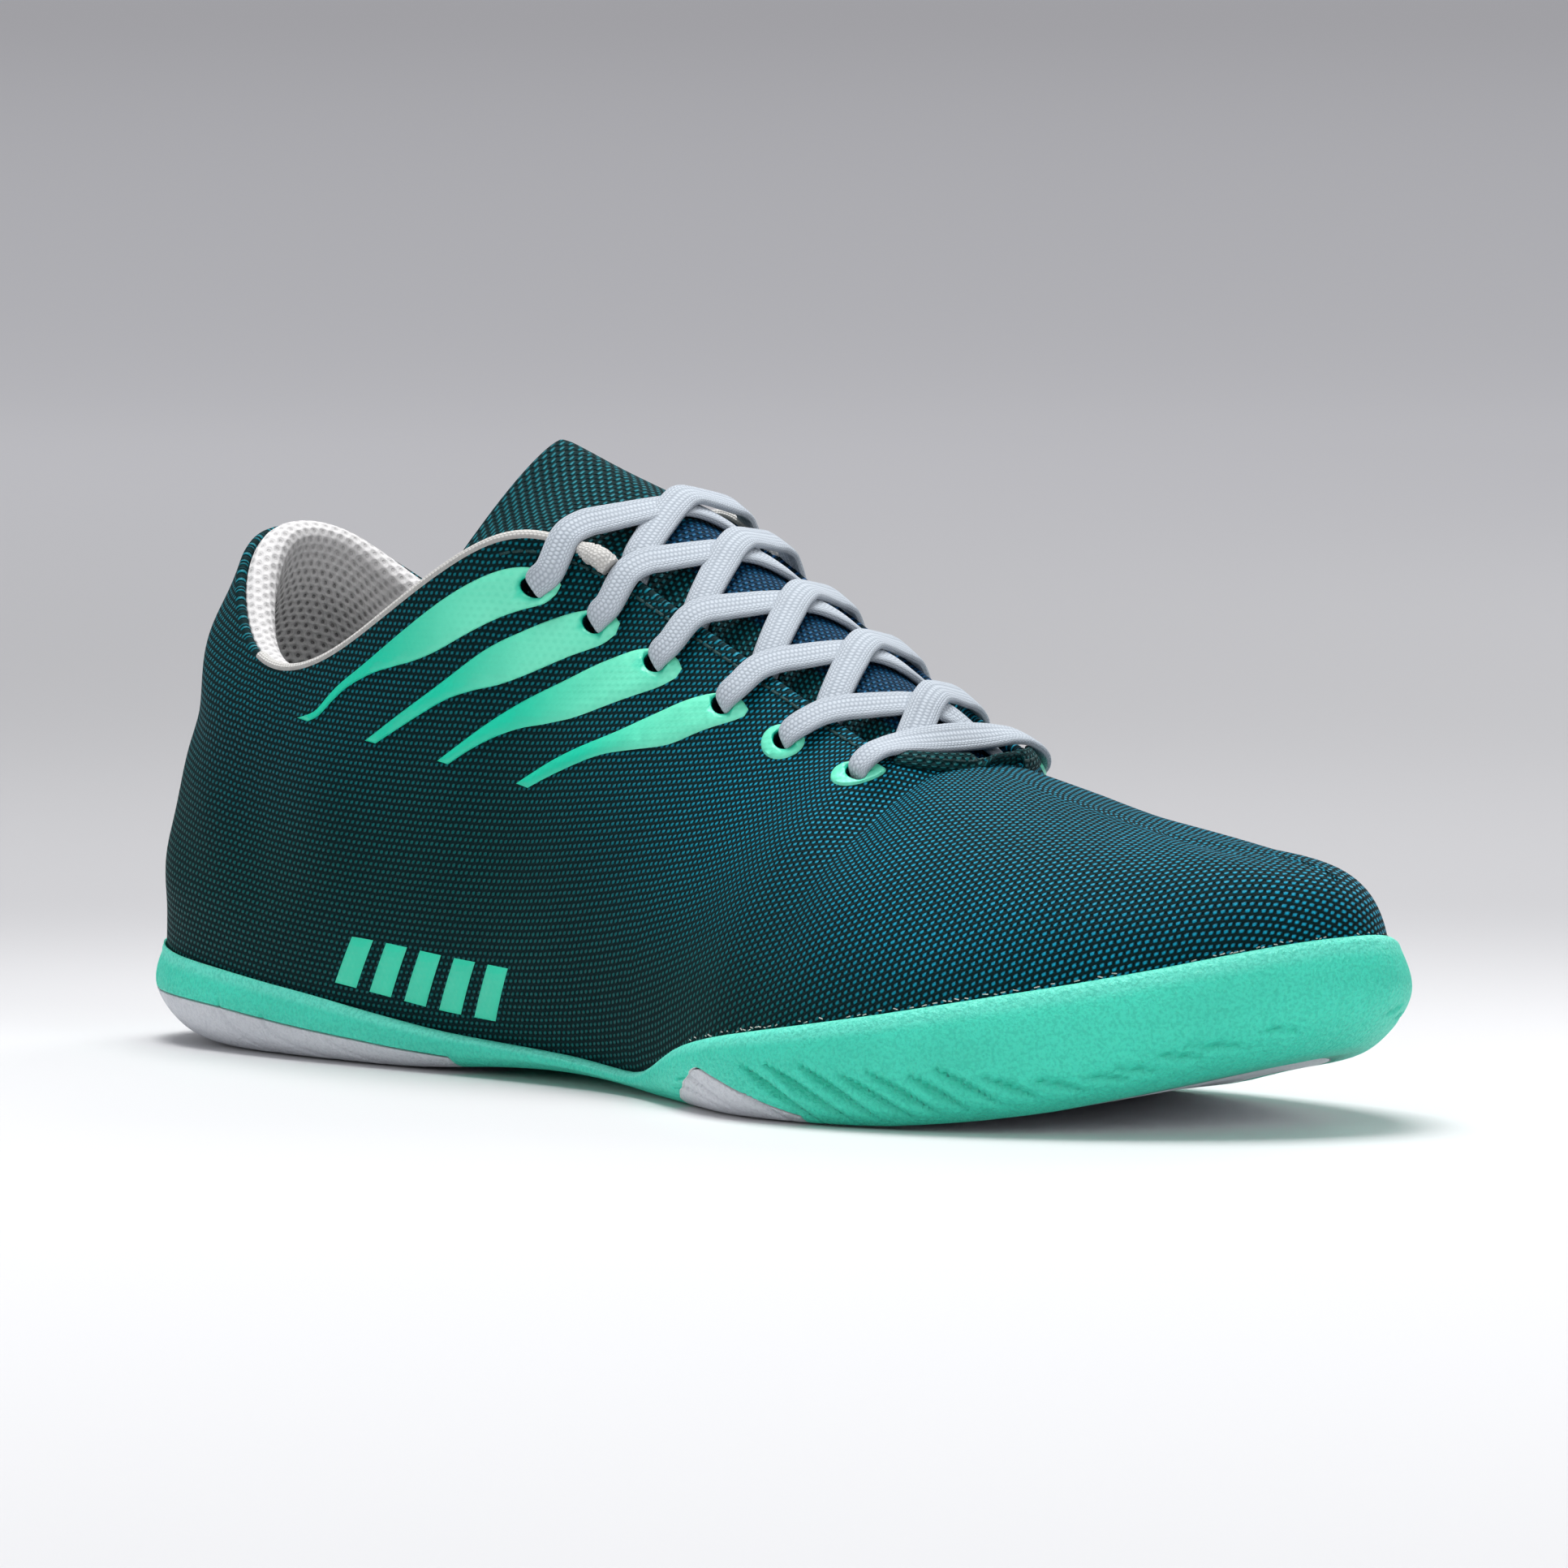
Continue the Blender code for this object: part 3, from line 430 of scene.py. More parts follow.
def woven(name, base_a, thread_a, base_b, thread_b, key, pu=1.28, pv=1.18, tint_highlight=None):
    """Open honeycomb weave: slanted raised threads with dark holes between.
    key: attribute that turns colour a into colour b."""
    M = Mat(name, rough=.62, spec=.22)
    u, v, vec = M.uv()
    wob = M.noise(vec, .55, 2.0)
    fc, fr, _ = cells(M, u, v, pu, pv, wob, .28)
    thread = spot(M, fc, fr, .46, .29, .42, .45, 1.2)
    hc = M.math("SUBTRACT", M.math("FRACT", M.math("ADD", fc, 1.0)), .5)
    hole = spot(M, hc, M.math("ADD", fr, .04), .22, .30, .3, .45, 1.25)
    big = M.noise(vec, .035, 3.0)
    k = M.attr(key)
    base = M.mix(k, base_a, base_b)
    thr = M.mix(k, thread_a, thread_b)
    # where this attribute is high (up-facing toe, vamp and tongue crest) the threads turn a brighter blue: partly the
    # yarn's own blue tint, partly painted highlight from overhead light
    if tint_highlight is not None:
        thr = M.mix(M.math("MULTIPLY", M.attr(tint_highlight[0]), 1.0), thr, tint_highlight[1])
    thr = M.mix(M.ramp(big, .35, .7, 0.0, .35), thr, M.mix(.5, base, thr))
    col = M.mix(M.math("MULTIPLY", thread, .9), base, thr)
    col = M.mix(M.math("MULTIPLY", hole, .92), col, (.0012, .0045, .005))
    fine = M.noise(vec, 3.4, 2.0)
    col = M.mix(M.ramp(fine, .3, .75, 0.0, .22), col, (.002, .008, .009))
    M.colour(col)
    h = M.math("SUBTRACT", M.math("MULTIPLY", thread, .8), M.math("MULTIPLY", hole, 1.1))
    h = M.math("ADD", h, M.math("MULTIPLY", fine, .3))
    M.normal(M.bump(h, .9, .0005))
    M.rough(M.ramp(thread, 0.0, 1.0, .78, .45))
    M.set(Specular_Tint=(.25, .85, 1.0, 1.0))
    return M.m


TEAL, TEAL_T = (.0006, .0080, .0085), (.0030, .132, .128)
NAVY, NAVY_T = (.0008, .0070, .026), (.0055, .080, .245)
# brighter blue threads for the up-facing toe and vamp: partly the yarn's blue tint, partly painted highlight
BLUE_HIGHLIGHT_T = (.0110, .410, .640)
M_WOVEN = woven("woven_upper_cloth", TEAL, TEAL_T, NAVY, NAVY_T, "navy", tint_highlight=("blue_tint_and_highlight", BLUE_HIGHLIGHT_T))
# the tongue's last colour is its brighter blue for the crest: partly yarn tint, partly painted highlight
M_TONGUE = woven("woven_tongue_cloth", (.0007, .0110, .0115), (.0040, .150, .152), (.0012, .018, .060), (.0070, .125, .290),
                 "navy", tint_highlight=("blue_tint_and_highlight", (.008, .230, .300)))


def rubber(name, colour, dark, rough, grain=1.0, light=None):
    M = Mat(name, rough=rough, spec=.42)
    o = M.obj()
    big = M.noise(o, 26, 3.0)
    col = M.mix(M.ramp(big, .3, .75, 0.0, .35), colour, dark)
    if light is not None:
        # painted highlight: a paler colour along the lip's chamfer rows (the edge attribute), where overhead light
        # catches the top of the lip
        col = M.mix(M.math("MULTIPLY", M.attr("edge"), .55), col, light)
    # painted shade: darker rubber inside the carved grooves (the cut attribute holds the groove depth)
    col = M.mix(M.math("MULTIPLY", M.attr("cut"), .6), col, dark)
    fine = M.noise(o, 1500, 2.0, .6)
    mid = M.noise(o, 420, 2.0)
    col = M.mix(M.ramp(fine, .42, .64, 0.0, .42), col, dark)
    M.colour(col)
    h = M.math("ADD", M.math("MULTIPLY", fine, .7), M.math("MULTIPLY", mid, .6))
    M.normal(M.bump(h, .75 * grain, .0008))
    M.rough(M.ramp(fine, .3, .7, rough - .06, rough + .1))
    return M


MINT = (.056, .740, .540)
# the last colour is the paler mint painted along the lip's chamfer as a highlight
MR = rubber("mint_sole_rubber", MINT, (.028, .48, .345), .50, 1.0, (.20, .86, .70))
MR.set(Subsurface_Weight=.06, Subsurface_Scale=.004)
M_MINT = MR.m
M_GREY = rubber("grey_sole_rubber", (.64, .66, .70), (.49, .51, .56), .46, .8).m


def stay_material():
    """Mint film over the cloth: paler and finely dotted near the lace."""
    M = Mat("mint_film", rough=.38, spec=.45)
    u, v, vec = M.uv()
    k = M.attr("fade")
    fc, fr, _ = cells(M, u, v, 1.9, 1.3)
    dot = spot(M, fc, fr, .34, .34, 0.0, .3, 1.3)
    col = M.mix(k, (.001, .63, .40), (.19, .88, .60))
    col = M.mix(M.math("MULTIPLY", M.math("MULTIPLY", dot, k), .35), col, (.10, .74, .47))
    big = M.noise(vec, .09, 2.0)
    col = M.mix(M.ramp(big, .4, .7, 0.0, .18), col, (.02, .50, .31))
    M.colour(col)
    wf, wr, _ = cells(M, u, v, 1.28, 1.18)
    wv = spot(M, wf, wr, .4, .3, .4, .3, 1.3)
    h = M.math("ADD", M.math("MULTIPLY", wv, .55), M.math("MULTIPLY", M.noise(vec, 2.6, 2.0), .5))
    M.normal(M.bump(h, .22, .0003))
    M.rough(M.ramp(wv, 0.0, 1.0, .44, .34))
    M.set(Coat_Weight=.12, Coat_Roughness=.3)
    return M.m


M_FILM = stay_material()


def lace_material():
    """Flat braid: fine lattice near the ends, ribs along its top."""
    M = Mat("braided_lace", rough=.7, spec=.25)
    u, v, vec = M.uv()
    fc, fr, _ = cells(M, u, v, .80, .52)
    st = spot(M, fc, fr, .44, .42, .35, .35, 1.35)
    rib = M.math("ADD", .5, M.math("MULTIPLY", M.math("COSINE", M.math("MULTIPLY", v, 2 * math.pi / 1.04)), .5))
    col = M.mix(st, (.355, .40, .455), (.575, .63, .69))
    col = M.mix(M.math("MULTIPLY", rib, .22), col, (.355, .40, .455))
    big = M.noise(vec, .12, 2.0)
    col = M.mix(M.ramp(big, .35, .7, 0.0, .15), col, (.44, .48, .53))
    M.colour(col)
    h = M.math("SUBTRACT", st, M.math("MULTIPLY", rib, .6))
    M.normal(M.bump(M.math("ADD", h, M.math("MULTIPLY", M.noise(vec, 5.0, 2.0), .3)), .5, .0002))
    return M.m


def mesh_material():
    """Padded lining: white spacer mesh with dark oval holes in offset rows."""
    M = Mat("collar_mesh", rough=.85, spec=.25)
    u, v, vec = M.uv()
    wob = M.noise(vec, .4, 1.0)
    fc, fr, _ = cells(M, u, v, 2.1, 1.57, wob, .3)
    hole = spot(M, fc, fr, .20, .27, 0.0, .55, 1.2)
    k = M.attr("roll")
    hole = M.math("MULTIPLY", hole, M.ramp(k, 0.0, 1.0, .95, .35))
    ring = spot(M, fc, fr, .42, .46, 0.0, .6, 1.2)
    col = M.mix(ring, (.88, .87, .86), (.79, .78, .77))
    col = M.mix(k, col, (.70, .69, .69))
    col = M.mix(hole, col, (.19, .18, .185))
    M.colour(col)
    h = M.math("SUBTRACT", M.math("MULTIPLY", ring, -.35), M.math("MULTIPLY", hole, 1.0))
    h = M.math("ADD", h, M.math("MULTIPLY", M.noise(vec, 2.8, 2.0), .25))
    M.normal(M.bump(h, .8, .0006))
    M.set(Sheen_Weight=.1, Sheen_Roughness=.5)
    return M.m


def plain_cloth(name, a, b, scale=1.0, rough=.85, depth=.0003):
    """Fine plain weave for threads, trims and the insole's cover."""
    M = Mat(name, rough=rough, spec=.25)
    u, v, vec = M.uv()
    fc, fr, _ = cells(M, u, v, .8 * scale, .6 * scale)
    st = spot(M, fc, fr, .42, .40, .3, .35, 1.3)
    col = M.mix(st, b, a)
    M.colour(M.mix(M.ramp(M.noise(vec, .2, 2.0), .35, .7, 0.0, .25), col, b))
    M.normal(M.bump(st, .6, depth))
    return M.m


def thread_material(name, a, b):
    M = Mat(name, rough=.7, spec=.3)
    n = M.noise(M.obj(), 2600, 2.0)
    M.colour(M.mix(M.ramp(n, .35, .65), a, b))
    M.normal(M.bump(n, .5, .0002))
    return M.m


M_LACE = lace_material()
M_MESH = mesh_material()
M_INSOLE = plain_cloth("insole_cover", (.40, .41, .42), (.24, .245, .25), 1.4)
M_THREAD = thread_material("dark_stitching", (.006, .030, .032), (.014, .065, .066))
M_WHITE = thread_material("white_thread", (.70, .69, .66), (.50, .49, .46))
M_BIND = woven("throat_binding_cloth", (.001, .016, .016), (.004, .115, .125), (.001, .016, .016), (.004, .115, .125), "navy",
               pu=1.6, pv=.9)


# =====================================================================
# Mesh helpers
# =====================================================================
def make(name, verts_mm, faces, mat, uv=None, attrs=None, smooth=True, angle=None):
    """A mesh piece.  uv and attrs hold one value per vertex."""
    me = bpy.data.meshes.new(name)
    me.from_pydata([tuple(p) for p in to_m(verts_mm)], [], [tuple(int(i) for i in f) for f in faces])
    me.validate()
    if uv is not None:
        lay = me.uv_layers.new(name="mm")
        idx = np.empty(len(me.loops), dtype=np.int32)
        me.loops.foreach_get("vertex_index", idx)
        lay.data.foreach_set("uv", np.asarray(uv, dtype=np.float32)[idx].ravel())
    for k, val in (attrs or {}).items():
        a = me.attributes.new(k, "FLOAT", "POINT")
        a.data.foreach_set("value", np.asarray(val, dtype=np.float32).ravel())
    bm = bmesh.new()
    bm.from_mesh(me)
    bmesh.ops.recalc_face_normals(bm, faces=bm.faces)
    if all(e.is_manifold for e in bm.edges) and bm.calc_volume(signed=True) < 0:
        bmesh.ops.reverse_faces(bm, faces=bm.faces)
    bm.to_mesh(me)
    bm.free()
    if smooth:
        me.shade_smooth()
        if angle:
            me.set_sharp_from_angle(angle=math.radians(angle))
    o = bpy.data.objects.new(name, me)
    if mat:
        me.materials.append(mat)
    bpy.context.scene.collection.objects.link(o)
    return o


def quads(rows, closed=False):
    """Faces between rows of vertex numbers; repeats are dropped."""
    out = []
    for a, b in zip(rows[:-1], rows[1:]):
        n = len(a)
        for i in range(n if closed else n - 1):
            j = (i + 1) % n
            q = []
            for v in (a[i], a[j], b[j], b[i]):
                if v not in q:
                    q.append(v)
            if len(q) > 2:
                out.append(q)
    return out


def apply_modifiers(o):
    dg = bpy.context.evaluated_depsgraph_get()
    me = bpy.data.meshes.new_from_object(o.evaluated_get(dg), preserve_all_data_layers=True, depsgraph=dg)
    old = o.data
    o.modifiers.clear()
    o.data = me
    bpy.data.meshes.remove(old)


def cut(o, tool, op="DIFFERENCE", solver="MANIFOLD"):
    m = o.modifiers.new("cut", "BOOLEAN")
    m.operation, m.object, m.solver = op, tool, solver
    apply_modifiers(o)


def drop(*objs):
    for o in objs:
        me = o.data
        bpy.data.objects.remove(o, do_unlink=True)
        if me and me.users == 0:
            bpy.data.meshes.remove(me)


def piece(o, slot, *nodes):
    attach(o, "root")
    if nodes:
        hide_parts(*nodes)
    return o


def unit(v):
    v = np.asarray(v, float)
    return v / np.maximum(np.linalg.norm(v, axis=-1, keepdims=True), 1e-12)


def curve_through(pts, n):
    """Even steps on a centripetal curve through the points; also weights to
    carry other values along it."""
    p = np.asarray(pts, float)
    d = np.r_[0, np.cumsum(np.linalg.norm(np.diff(p, axis=0), axis=1)**.5)]
    q = np.linspace(0, d[-1], max(12 * len(p), 4 * n))
    ext = np.vstack([2 * p[0] - p[1], p, 2 * p[-1] - p[-2]])
    de = np.r_[-(d[1] - d[0]), d, d[-1] + d[-1] - d[-2]]
    out = []
    for x in q:
        i = min(max(int(np.searchsorted(d, x, side="right")) - 1, 0), len(p) - 2)
        t0, t1, t2, t3 = de[i], de[i + 1], de[i + 2], de[i + 3]
        P0, P1, P2, P3 = ext[i:i + 4]
        A1 = (t1 - x) / (t1 - t0) * P0 + (x - t0) / (t1 - t0) * P1
        A2 = (t2 - x) / (t2 - t1) * P1 + (x - t1) / (t2 - t1) * P2
        A3 = (t3 - x) / (t3 - t2) * P2 + (x - t2) / (t3 - t2) * P3
        B1 = (t2 - x) / (t2 - t0) * A1 + (x - t0) / (t2 - t0) * A2
        B2 = (t3 - x) / (t3 - t1) * A2 + (x - t1) / (t3 - t1) * A3
        out.append((t2 - x) / (t2 - t1) * B1 + (x - t1) / (t2 - t1) * B2)
    out = np.array(out)
    L = np.r_[0, np.cumsum(np.linalg.norm(np.diff(out, axis=0), axis=1))]
    s = np.linspace(0, L[-1], n)
    res = np.stack([np.interp(s, L, out[:, k]) for k in range(3)], -1)
    par = np.interp(s, L, np.interp(q, d, np.arange(len(p))))
    return res, s, par


def ribbon(pts, ups, widths, thicks, n, sides=20, power=.72, u0=0.0):
    """Vertices, faces and uv of a flat oval cord along the points."""
    p, s, par = curve_through(pts, n)
    k = np.arange(len(pts))
    up = np.stack([np.interp(par, k, np.asarray(ups, float)[:, i]) for i in range(3)], -1)
    w = np.interp(par, k, widths)
    h = np.interp(par, k, thicks)
    d = unit(np.gradient(p, axis=0))
    side = unit(np.cross(d, up))
    nrm = np.cross(side, d)
    a = np.arange(sides) * 2 * math.pi / sides
    ca, sa = np.cos(a), np.sin(a)
    cx = np.sign(ca) * np.abs(ca)**power
    cy = np.sign(sa) * np.abs(sa)**power
    V = (p[:, None] + cx[None, :, None] * side[:, None] * (w / 2)[:, None, None]
         + cy[None, :, None] * nrm[:, None] * (h / 2)[:, None, None])
    peri = np.linspace(0, 2.0 * w.max() + 2.0, sides)
    uv = np.stack([np.repeat(s + u0, sides), np.tile(peri, n)], -1)
    V = V.reshape(-1, 3)
    rows = [[i * sides + j for j in range(sides)] for i in range(n)]
    F = quads(rows, True)
    V = np.vstack([V, p[0], p[-1]])
    uv = np.vstack([uv, uv[0], uv[-1]])
    a0, a1 = len(V) - 2, len(V) - 1
    for j in range(sides):
        F.append([a0, rows[0][(j + 1) % sides], rows[0][j]])
        F.append([a1, rows[-1][j], rows[-1][(j + 1) % sides]])
    return V, F, uv


class Heap:
    """Collects many small meshes into one."""
    def __init__(self):
        self.v, self.f, self.u, self.n = [], [], [], 0

    def add(self, V, F, uv=None):
        self.v.append(np.asarray(V, float))
        self.f += [[i + self.n for i in f] for f in F]
        self.u.append(np.asarray(uv, float) if uv is not None else np.zeros((len(V), 2)))
        self.n += len(V)

    def object(self, name, mat, attrs=None):
        return make(name, np.vstack(self.v), self.f, mat, np.vstack(self.u), attrs)


def pill(a, b, up, r, seg=8, rings=4, flat=.7):
    """A short stitch: a capsule from a to b."""
    a, b = np.asarray(a, float), np.asarray(b, float)
    d = unit(b - a)
    s = unit(np.cross(d, up))
    q = np.cross(s, d)
    V, rows = [], []
    prof = [(-math.cos(x) * r, math.sin(x)) for x in np.linspace(.25, math.pi / 2, rings)]
    prof += [(None, 1.0)]
    L = np.linalg.norm(b - a)
    prof2 = prof[:-1] + [(L - o, w) for o, w in [(-x, y) for x, y in prof[:-1]][::-1]]
    for o, w in prof2:
        c = a + d * o
        row = []
        for j in range(seg):
            ang = 2 * math.pi * j / seg
            row.append(len(V))
            V.append(c + (s * math.cos(ang) + q * math.sin(ang) * flat) * r * w)
        rows.append(row)
    F = quads(rows, True) + [rows[0][::-1], rows[-1]]
    return np.array(V), F


# =====================================================================
# Camera, light and floor
# =====================================================================
AZ, EL, DIST = math.radians(48.5), math.radians(4.4), 2.4
back = np.array([math.sin(AZ) * math.cos(EL), -math.cos(AZ) * math.cos(EL), math.sin(EL)])
right = np.array([math.cos(AZ), math.sin(AZ), 0.0])
upv = np.cross(back, right)
T0 = np.array([0.100, 0.0, 0.040])
cam_data = bpy.data.cameras.new("camera")
cam = bpy.data.objects.new("camera", cam_data)
bpy.context.scene.collection.objects.link(cam)
pos = T0 + back * DIST
aim = T0 + right * 0.0082 + upv * 0.0128
cam.location = Vector(pos)
cam.rotation_euler = Vector(aim - pos).to_track_quat("-Z", "Y").to_euler()
cam_data.sensor_width = 36.0
cam_data.lens = 309.0
cam_data.clip_start, cam_data.clip_end = 0.05, 100.0
bpy.context.scene.camera = cam
bpy.context.scene.view_settings.view_transform = "Standard"

FLOOR_R = 40.0
bm = bmesh.new()
bmesh.ops.create_circle(bm, cap_ends=True, cap_tris=False, segments=96, radius=FLOOR_R)
me = bpy.data.meshes.new("floor")
bm.to_mesh(me)
bm.free()
floor = bpy.data.objects.new("floor", me)
floor.location = (0.1, 0.0, -0.0004)
bpy.context.scene.collection.objects.link(floor)
F_ = Mat("floor_painted_backdrop_light", rough=.6, spec=.25)
geo = F_.add("ShaderNodeNewGeometry").outputs["Position"]
bh = np.array([math.sin(AZ), -math.cos(AZ), 0])
centre = T0 + bh * 0.62
vs = F_.add("ShaderNodeVectorMath", operation="DISTANCE")
F_.put(vs.inputs[0], geo)
vs.inputs[1].default_value = (centre[0], centre[1], 0.0)
dist = vs.outputs["Value"]
# Painted light and shade on the floor, by distance from a point 0.62 m in front of the shoe: pale in front, darker just
# around and behind the shoe where the lamps' pool falls, paler again further back and greyer far off
f1 = F_.ramp(dist, .62, 1.05)
f2 = F_.ramp(dist, 1.45, 3.2)
f3 = F_.ramp(dist, 4.5, 14.0)
c_ = F_.mix(f1, (.71, .71, .722), (.430, .428, .440))
c_ = F_.mix(f2, c_, (.82, .815, .84))
c_ = F_.mix(f3, c_, (.61, .60, .62))
F_.colour(c_)
# painted glow: beyond about 1.4 m the floor emits light, though it is no lamp, standing in for a lit backdrop
F_.put(F_.b.inputs["Emission Color"], F_.mix(F_.ramp(dist, 1.4, 3.4), (0, 0, 0), (.150, .148, .155)))
F_.set(Emission_Strength=1.0)
me.materials.append(F_.m)

world = bpy.data.worlds.new("studio")
bpy.context.scene.world = world
world.use_nodes = True
bg = world.node_tree.nodes["Background"]
bg.inputs[1].default_value = 1.0
# softly brighter overhead than near the floor
wt = world.node_tree
wc = wt.nodes.new("ShaderNodeTexCoord")
wz = wt.nodes.new("ShaderNodeSeparateXYZ")
wm = wt.nodes.new("ShaderNodeMapRange")
wx = wt.nodes.new("ShaderNodeMix")
wx.data_type = "RGBA"
wt.links.new(wc.outputs["Generated"], wz.inputs[0])
wt.links.new(wz.outputs[2], wm.inputs[0])
wm.inputs[1].default_value, wm.inputs[2].default_value = 0.0, 1.0
wt.links.new(wm.outputs[0], wx.inputs[0])
wx.inputs[6].default_value = (.150, .152, .160, 1)
wx.inputs[7].default_value = (.410, .416, .432, 1)
wt.links.new(wx.outputs[2], bg.inputs[0])


def area(name, loc, target, size, power, colour=(1, 1, 1), size_y=None):
    ld = bpy.data.lights.new(name, "AREA")
    ld.energy, ld.size, ld.color = power, size, colour
    if size_y:
        ld.shape, ld.size_y = "RECTANGLE", size_y
    o = bpy.data.objects.new(name, ld)
    bpy.context.scene.collection.objects.link(o)
    o.location = loc
    o.rotation_euler = (Vector(target) - Vector(loc)).to_track_quat("-Z", "Y").to_euler()
    return o


mid = Vector((0.10, 0, 0.05))
rh = Vector((math.cos(AZ), math.sin(AZ), 0))
bhv = Vector((math.sin(AZ), -math.cos(AZ), 0))
area("overhead", mid + Vector((0, 0, 1.5)) - bhv * 0.25 - rh * .1, mid, .9, 28)
area("front_right", mid + bhv * 1.4 + rh * 1.2 + Vector((0, 0, .9)), mid, .8, 8.0)
area("front_left", mid + bhv * 1.5 - rh * 1.3 + Vector((0, 0, .7)), mid, .8, 7.5)
area("rim_back", mid - bhv * 1.2 + rh * 0.9 + Vector((0, 0, .9)), mid, .8, 7)

# =====================================================================
# Upper
# =====================================================================
UGC = np.arange(NR, 3 * NR + .01, .5)            # open strip, heel to heel round the toe
USC = np.linspace(0, 1, 25)


def flatten_cloth():
    """Lays the upper flat once, so that the weave keeps its size in mm and
    runs through from the quarters over the toe."""
    G2, S2 = np.meshgrid(UGC, USC, indexing="ij")
    P = upper(G2 % (2 * NR), t_of(S2, G2))
    nc, ns = S2.shape
    num = np.arange(nc * ns).reshape(nc, ns)
    mid_i = (nc - 1) // 2
    k = int(THROAT / .5)
    for i in range(1, k + 1):
        num[mid_i - i, -1] = num[mid_i + i, -1]
    ids, inv = np.unique(num, return_inverse=True)
    inv = inv.reshape(num.shape)
    V = P.reshape(-1, 3)[ids]
    me = bpy.data.meshes.new("flat")
    F = quads([list(r) for r in inv])
    me.from_pydata([tuple(p) for p in V], [], F)
    me.uv_layers.new(name="mm")
    o = bpy.data.objects.new("flat", me)
    bpy.context.scene.collection.objects.link(o)
    bpy.context.view_layer.objects.active = o
    o.select_set(True)
    bpy.ops.object.mode_set(mode="EDIT")
    bpy.ops.mesh.select_all(action="SELECT")
    bpy.ops.uv.unwrap(method="MINIMUM_STRETCH", margin=0.0, iterations=60)
    bpy.ops.object.mode_set(mode="OBJECT")
    idx = np.empty(len(me.loops), dtype=np.int32)
    me.loops.foreach_get("vertex_index", idx)
    uv = np.empty(len(me.loops) * 2, dtype=np.float32)
    me.uv_layers["mm"].data.foreach_get("uv", uv)
    U = np.zeros((len(V), 2))
    U[idx] = uv.reshape(-1, 2)
    o.select_set(False)
    drop(o)
    U = U[inv]
    e3 = np.linalg.norm(P[1:, 4:-4] - P[:-1, 4:-4], axis=-1)
    e2 = np.linalg.norm(U[1:, 4:-4] - U[:-1, 4:-4], axis=-1)
    U *= float(np.median(e3 / np.maximum(e2, 1e-9)))
    i0, i1 = 2 * (16 + NR - 0), 2 * (12 + NR)      # lateral quarter columns
    j = 10
    d = U[i1, j] - U[i0, j]
    a = math.atan2(d[1], d[0])
    c, s = math.cos(-a), math.sin(-a)
    return U @ np.array([[c, s], [-s, c]])


FLAT = flatten_cloth()


def cloth_uv(g, t):
    """Place on the flat cloth, in mm."""
    g, t = np.broadcast_arrays(np.asarray(g, float), np.asarray(t, float))
    gg = np.where(g < NR, g + 2 * NR, g)
    s = s_of(t, g)
    x = np.clip((gg - NR) / .5, 0, len(UGC) - 1.001)
    y = np.clip(s * (len(USC) - 1), 0, len(USC) - 1.001)
    i, j = x.astype(int), y.astype(int)
    fx, fy = (x - i)[..., None], (y - j)[..., None]
    return ((1 - fx) * (1 - fy) * FLAT[i, j] + fx * (1 - fy) * FLAT[i + 1, j]
            + (1 - fx) * fy * FLAT[i, j + 1] + fx * fy * FLAT[i + 1, j + 1])


def inside(poly, x, y):
    """Even-odd test, vectorised."""
    x, y = np.asarray(x, float), np.asarray(y, float)
    r = np.zeros(x.shape, bool)
    n = len(poly)
    for i in range(n):
        x0, y0 = poly[i]
        x1, y1 = poly[(i + 1) % n]
        if y0 == y1:
            continue
        c = (y0 > y) != (y1 > y)
        r ^= c & (x < (x1 - x0) * (y - y0) / (y1 - y0) + x0)
    return r


def poly_dist(poly, x, y):
    """Distance to a closed polygon's edge."""
    x, y = np.asarray(x, float), np.asarray(y, float)
    d = np.full(x.shape, 1e9)
    n = len(poly)
    for i in range(n):
        x0, y0 = poly[i]
        x1, y1 = poly[(i + 1) % n]
        ux, uy = x1 - x0, y1 - y0
        L = ux * ux + uy * uy
        if L < 1e-12:
            continue
        s = np.clip(((x - x0) * ux + (y - y0) * uy) / L, 0, 1)
        d = np.minimum(d, np.hypot(x - x0 - s * ux, y - y0 - s * uy))
    return d


# blades of film from the lacing to the quarter, on the outer side: upper edge
# from the tail, then lower edge from the tail
BLADES = (
    (((17.3, .833), (16.94, .832), (16.8, .857), (16.63, .878), (16.2, .893), (15.7, .908), (15.19, .919), (14.54, .922),
      (13.94, .926), (13.70, .925), (13.48, .917), (13.38, .900)),
     ((17.05, .805), (16.86, .806), (16.70, .830), (16.50, .848), (16.1, .842), (15.7, .818), (15.33, .797), (14.98, .789), (14.34, .800),
      (13.77, .828), (13.50, .850), (13.40, .876))),
    (((15.82, .645), (15.42, .67), (14.69, .708), (14.22, .741), (13.67, .783), (13.0, .859), (12.78, .880), (12.56, .889), (12.40, .876)),
     ((15.62, .624), (15.11, .644), (14.6, .660), (14.2, .664), (13.81, .672), (13.45, .697), (12.93, .754), (12.50, .810), (12.38, .846))),
    (((14.45, .534), (14.04, .572), (13.33, .65), (12.8, .713), (12.29, .788), (11.92, .852), (11.70, .874), (11.48, .877), (11.36, .860)),
     ((14.25, .524), (13.81, .560), (13.3, .596), (12.85, .620), (12.43, .650), (11.99, .704), (11.5, .786), (11.36, .830))),
    (((13.05, .501), (12.64, .548), (11.81, .647), (11.38, .727), (10.92, .835), (10.74, .868), (10.52, .880), (10.35, .866)),
     ((12.83, .498), (12.28, .552), (11.8, .603), (11.4, .640), (11.02, .682), (10.72, .745), (10.42, .812), (10.33, .842))),
)


